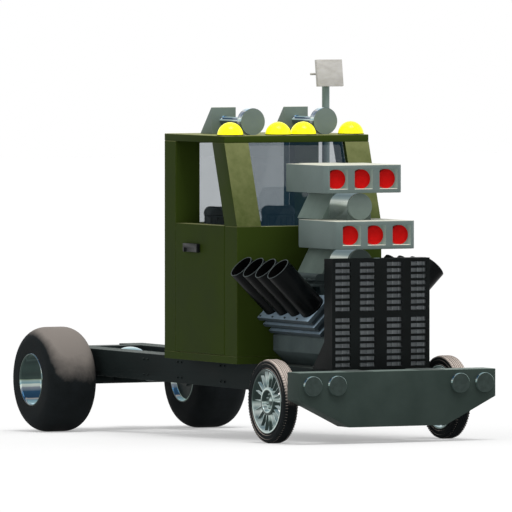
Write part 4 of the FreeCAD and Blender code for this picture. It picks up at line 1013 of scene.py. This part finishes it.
horn = {"x": 0.425, "mouth": -3.740, "axis": 2.8273, "box": -3.072, "boxHalf": 0.141, "boxDepth": 0.275,
        "slope": 0.255, "seat": 2.687, "top": 2.967}
bell = lathed([                     # a drum, the cone behind it and a long tube with a cap
    (0.002, 0.0), (0.002, 0.136), (0.0012, 0.138), (0.003, 0.140), (0.092, 0.140), (0.096, 0.137),
    (0.106, 0.116), (0.120, 0.090), (0.138, 0.064), (0.160, 0.046), (0.180, 0.042), (0.640, 0.0415),
    (0.646, 0.050), (0.668, 0.050), (0.668, 0.0)], 96)
face = lathed([(0.0005, 0.0), (0.0005, 0.1370), (0.010, 0.1370), (0.010, 0.0)], 72)
wedge = block((-horn["boxHalf"], horn["box"], horn["seat"]),
              (horn["boxHalf"], horn["box"] + horn["boxDepth"], horn["top"]))
edit(wedge, "VERT")
pickVertices(wedge, lambda point: point.z > horn["top"] - 0.05 and point.y > horn["box"] + 0.1)
bpy.ops.transform.translate(value=(0, -horn["slope"], 0))
bpy.ops.object.mode_set(mode="OBJECT")
modify(wedge, "BEVEL", width=0.006, segments=3)
spots = [flip @ at(horn["x"], horn["mouth"], horn["axis"]) @ alongY for flip in bothSides]
finish(scattered(bell, spots), "horn_trumpets", "horns", chromePlate, ("horns",), smooth=40)
finish(scattered(face, spots), "horn_faces", "horns", discPaint, smooth=40)
finish(scattered(wedge, [flip @ at(horn["x"], 0, 0) for flip in bothSides]), "horn_boxes", "horns", discPaint,
       smooth=30)
print("roof made")


# Mast and its plate

softened("mast", drawnSteel, "mast_tube", 0.003, smooth=40)
softened("mast_panel", brushedPlate, "mast_plate", 0.003, smooth=40)
clamp = {"x": 0.955, "y": -2.727, "heights": (0.720, 1.570, 2.6495), "half": 0.034, "inside": 0.0403,
         "outside": 0.047, "boltAside": 0.060, "boltRise": 0.020, "boltApart": 0.03, "bolt": (0.007, 0.008)}
half, inside, outside = clamp["half"], clamp["inside"], clamp["outside"]
collar = lathed([(-half, inside), (-half, outside), (half, outside), (half, inside), (-half, inside)], 40)
collars = scattered(collar, [at(clamp["x"], clamp["y"], z) @ alongZ for z in clamp["heights"]])
places = [at(clamp["x"] - clamp["boltAside"], clamp["y"] + shift, z + clamp["boltRise"]) @ alongZ
          for z in clamp["heights"] for shift in (-clamp["boltApart"], clamp["boltApart"])]
bolts = scattered(boltHead(*clamp["bolt"]), places)
finish(joined([collars, bolts]), "mast_clamps", "mast", castIron, smooth=35)
print("mast made")


# Floor, light and camera

studio = {"sky": 0.72, "sun": 1.9, "sunSoftness": 30, "sunTurn": (20, -3), "floorGlow": 0.34,
          "floorSize": 1600, "floorBehind": 300}


# 1 for what the camera, a reflection or glass shows of the studio, and 0 for the light it throws
def shown(owner):
    paths = addNode(owner, "LightPath").outputs
    seen = addNode(owner, "Math", {0: paths["Is Camera Ray"], 1: paths["Is Glossy Ray"]}, operation="ADD",
                   use_clamp=True).outputs[0]
    return addNode(owner, "Math", {0: seen, 1: paths["Is Transmission Ray"]}, operation="ADD",
                   use_clamp=True).outputs[0]


world = bpy.data.worlds.new("Studio")
bpy.context.scene.world = world
world.use_nodes = True
strength = addNode(world, "MapRange", {"Value": shown(world), "To Min": studio["sky"],
                                       "To Max": 1.0}).outputs[0]
fill(world, world.node_tree.nodes["Background"], {"Color": (1, 1, 1, 1), "Strength": strength})

deselect()
bpy.ops.mesh.primitive_plane_add(size=studio["floorSize"], location=(0, studio["floorBehind"], 0))
floor = bpy.context.object
floor.name = "studio_floor"
paleFloor = bpy.data.materials.new("Pale studio floor")
paleFloor.use_nodes = True
paleFloor.node_tree.nodes.remove(paleFloor.node_tree.nodes["Principled BSDF"])
glow = addNode(paleFloor, "MapRange", {"Value": shown(paleFloor), "To Min": 0.0,
                                       "To Max": studio["floorGlow"]}).outputs[0]
matt = addNode(paleFloor, "BsdfDiffuse", {"Color": hexColour("C0C0C0")}).outputs[0]
light = addNode(paleFloor, "Emission", {"Color": (1, 1, 1, 1), "Strength": glow}).outputs[0]
both = addNode(paleFloor, "AddShader", {0: matt, 1: light}).outputs[0]
fill(paleFloor, paleFloor.node_tree.nodes["Material Output"], {"Surface": both})
floor.data.materials.append(paleFloor)

sun = bpy.data.lights.new("Overhead", "SUN")
sun.energy = studio["sun"]
sun.angle = math.radians(studio["sunSoftness"])
lamp = bpy.data.objects.new("Overhead", sun)
lamp.rotation_euler = (math.radians(studio["sunTurn"][0]), math.radians(studio["sunTurn"][1]), 0)
bpy.context.scene.collection.objects.link(lamp)

view = {"turn": -27.1, "dip": 2.0, "lens": 675.4, "place": (-45.898, -92.670, 4.918)}
optics = bpy.data.cameras.new("View")
optics.sensor_width = 36
optics.lens = view["lens"]
optics.clip_start = 1
optics.clip_end = 3000
camera = bpy.data.objects.new("View", optics)
bpy.context.scene.collection.objects.link(camera)
camera.matrix_world = stance @ at(*view["place"]) @ turned(view["turn"], "Z") @ turned(90 - view["dip"], "X")
bpy.context.scene.camera = camera
bpy.context.scene.view_settings.view_transform = "Standard"

print("scene ready")
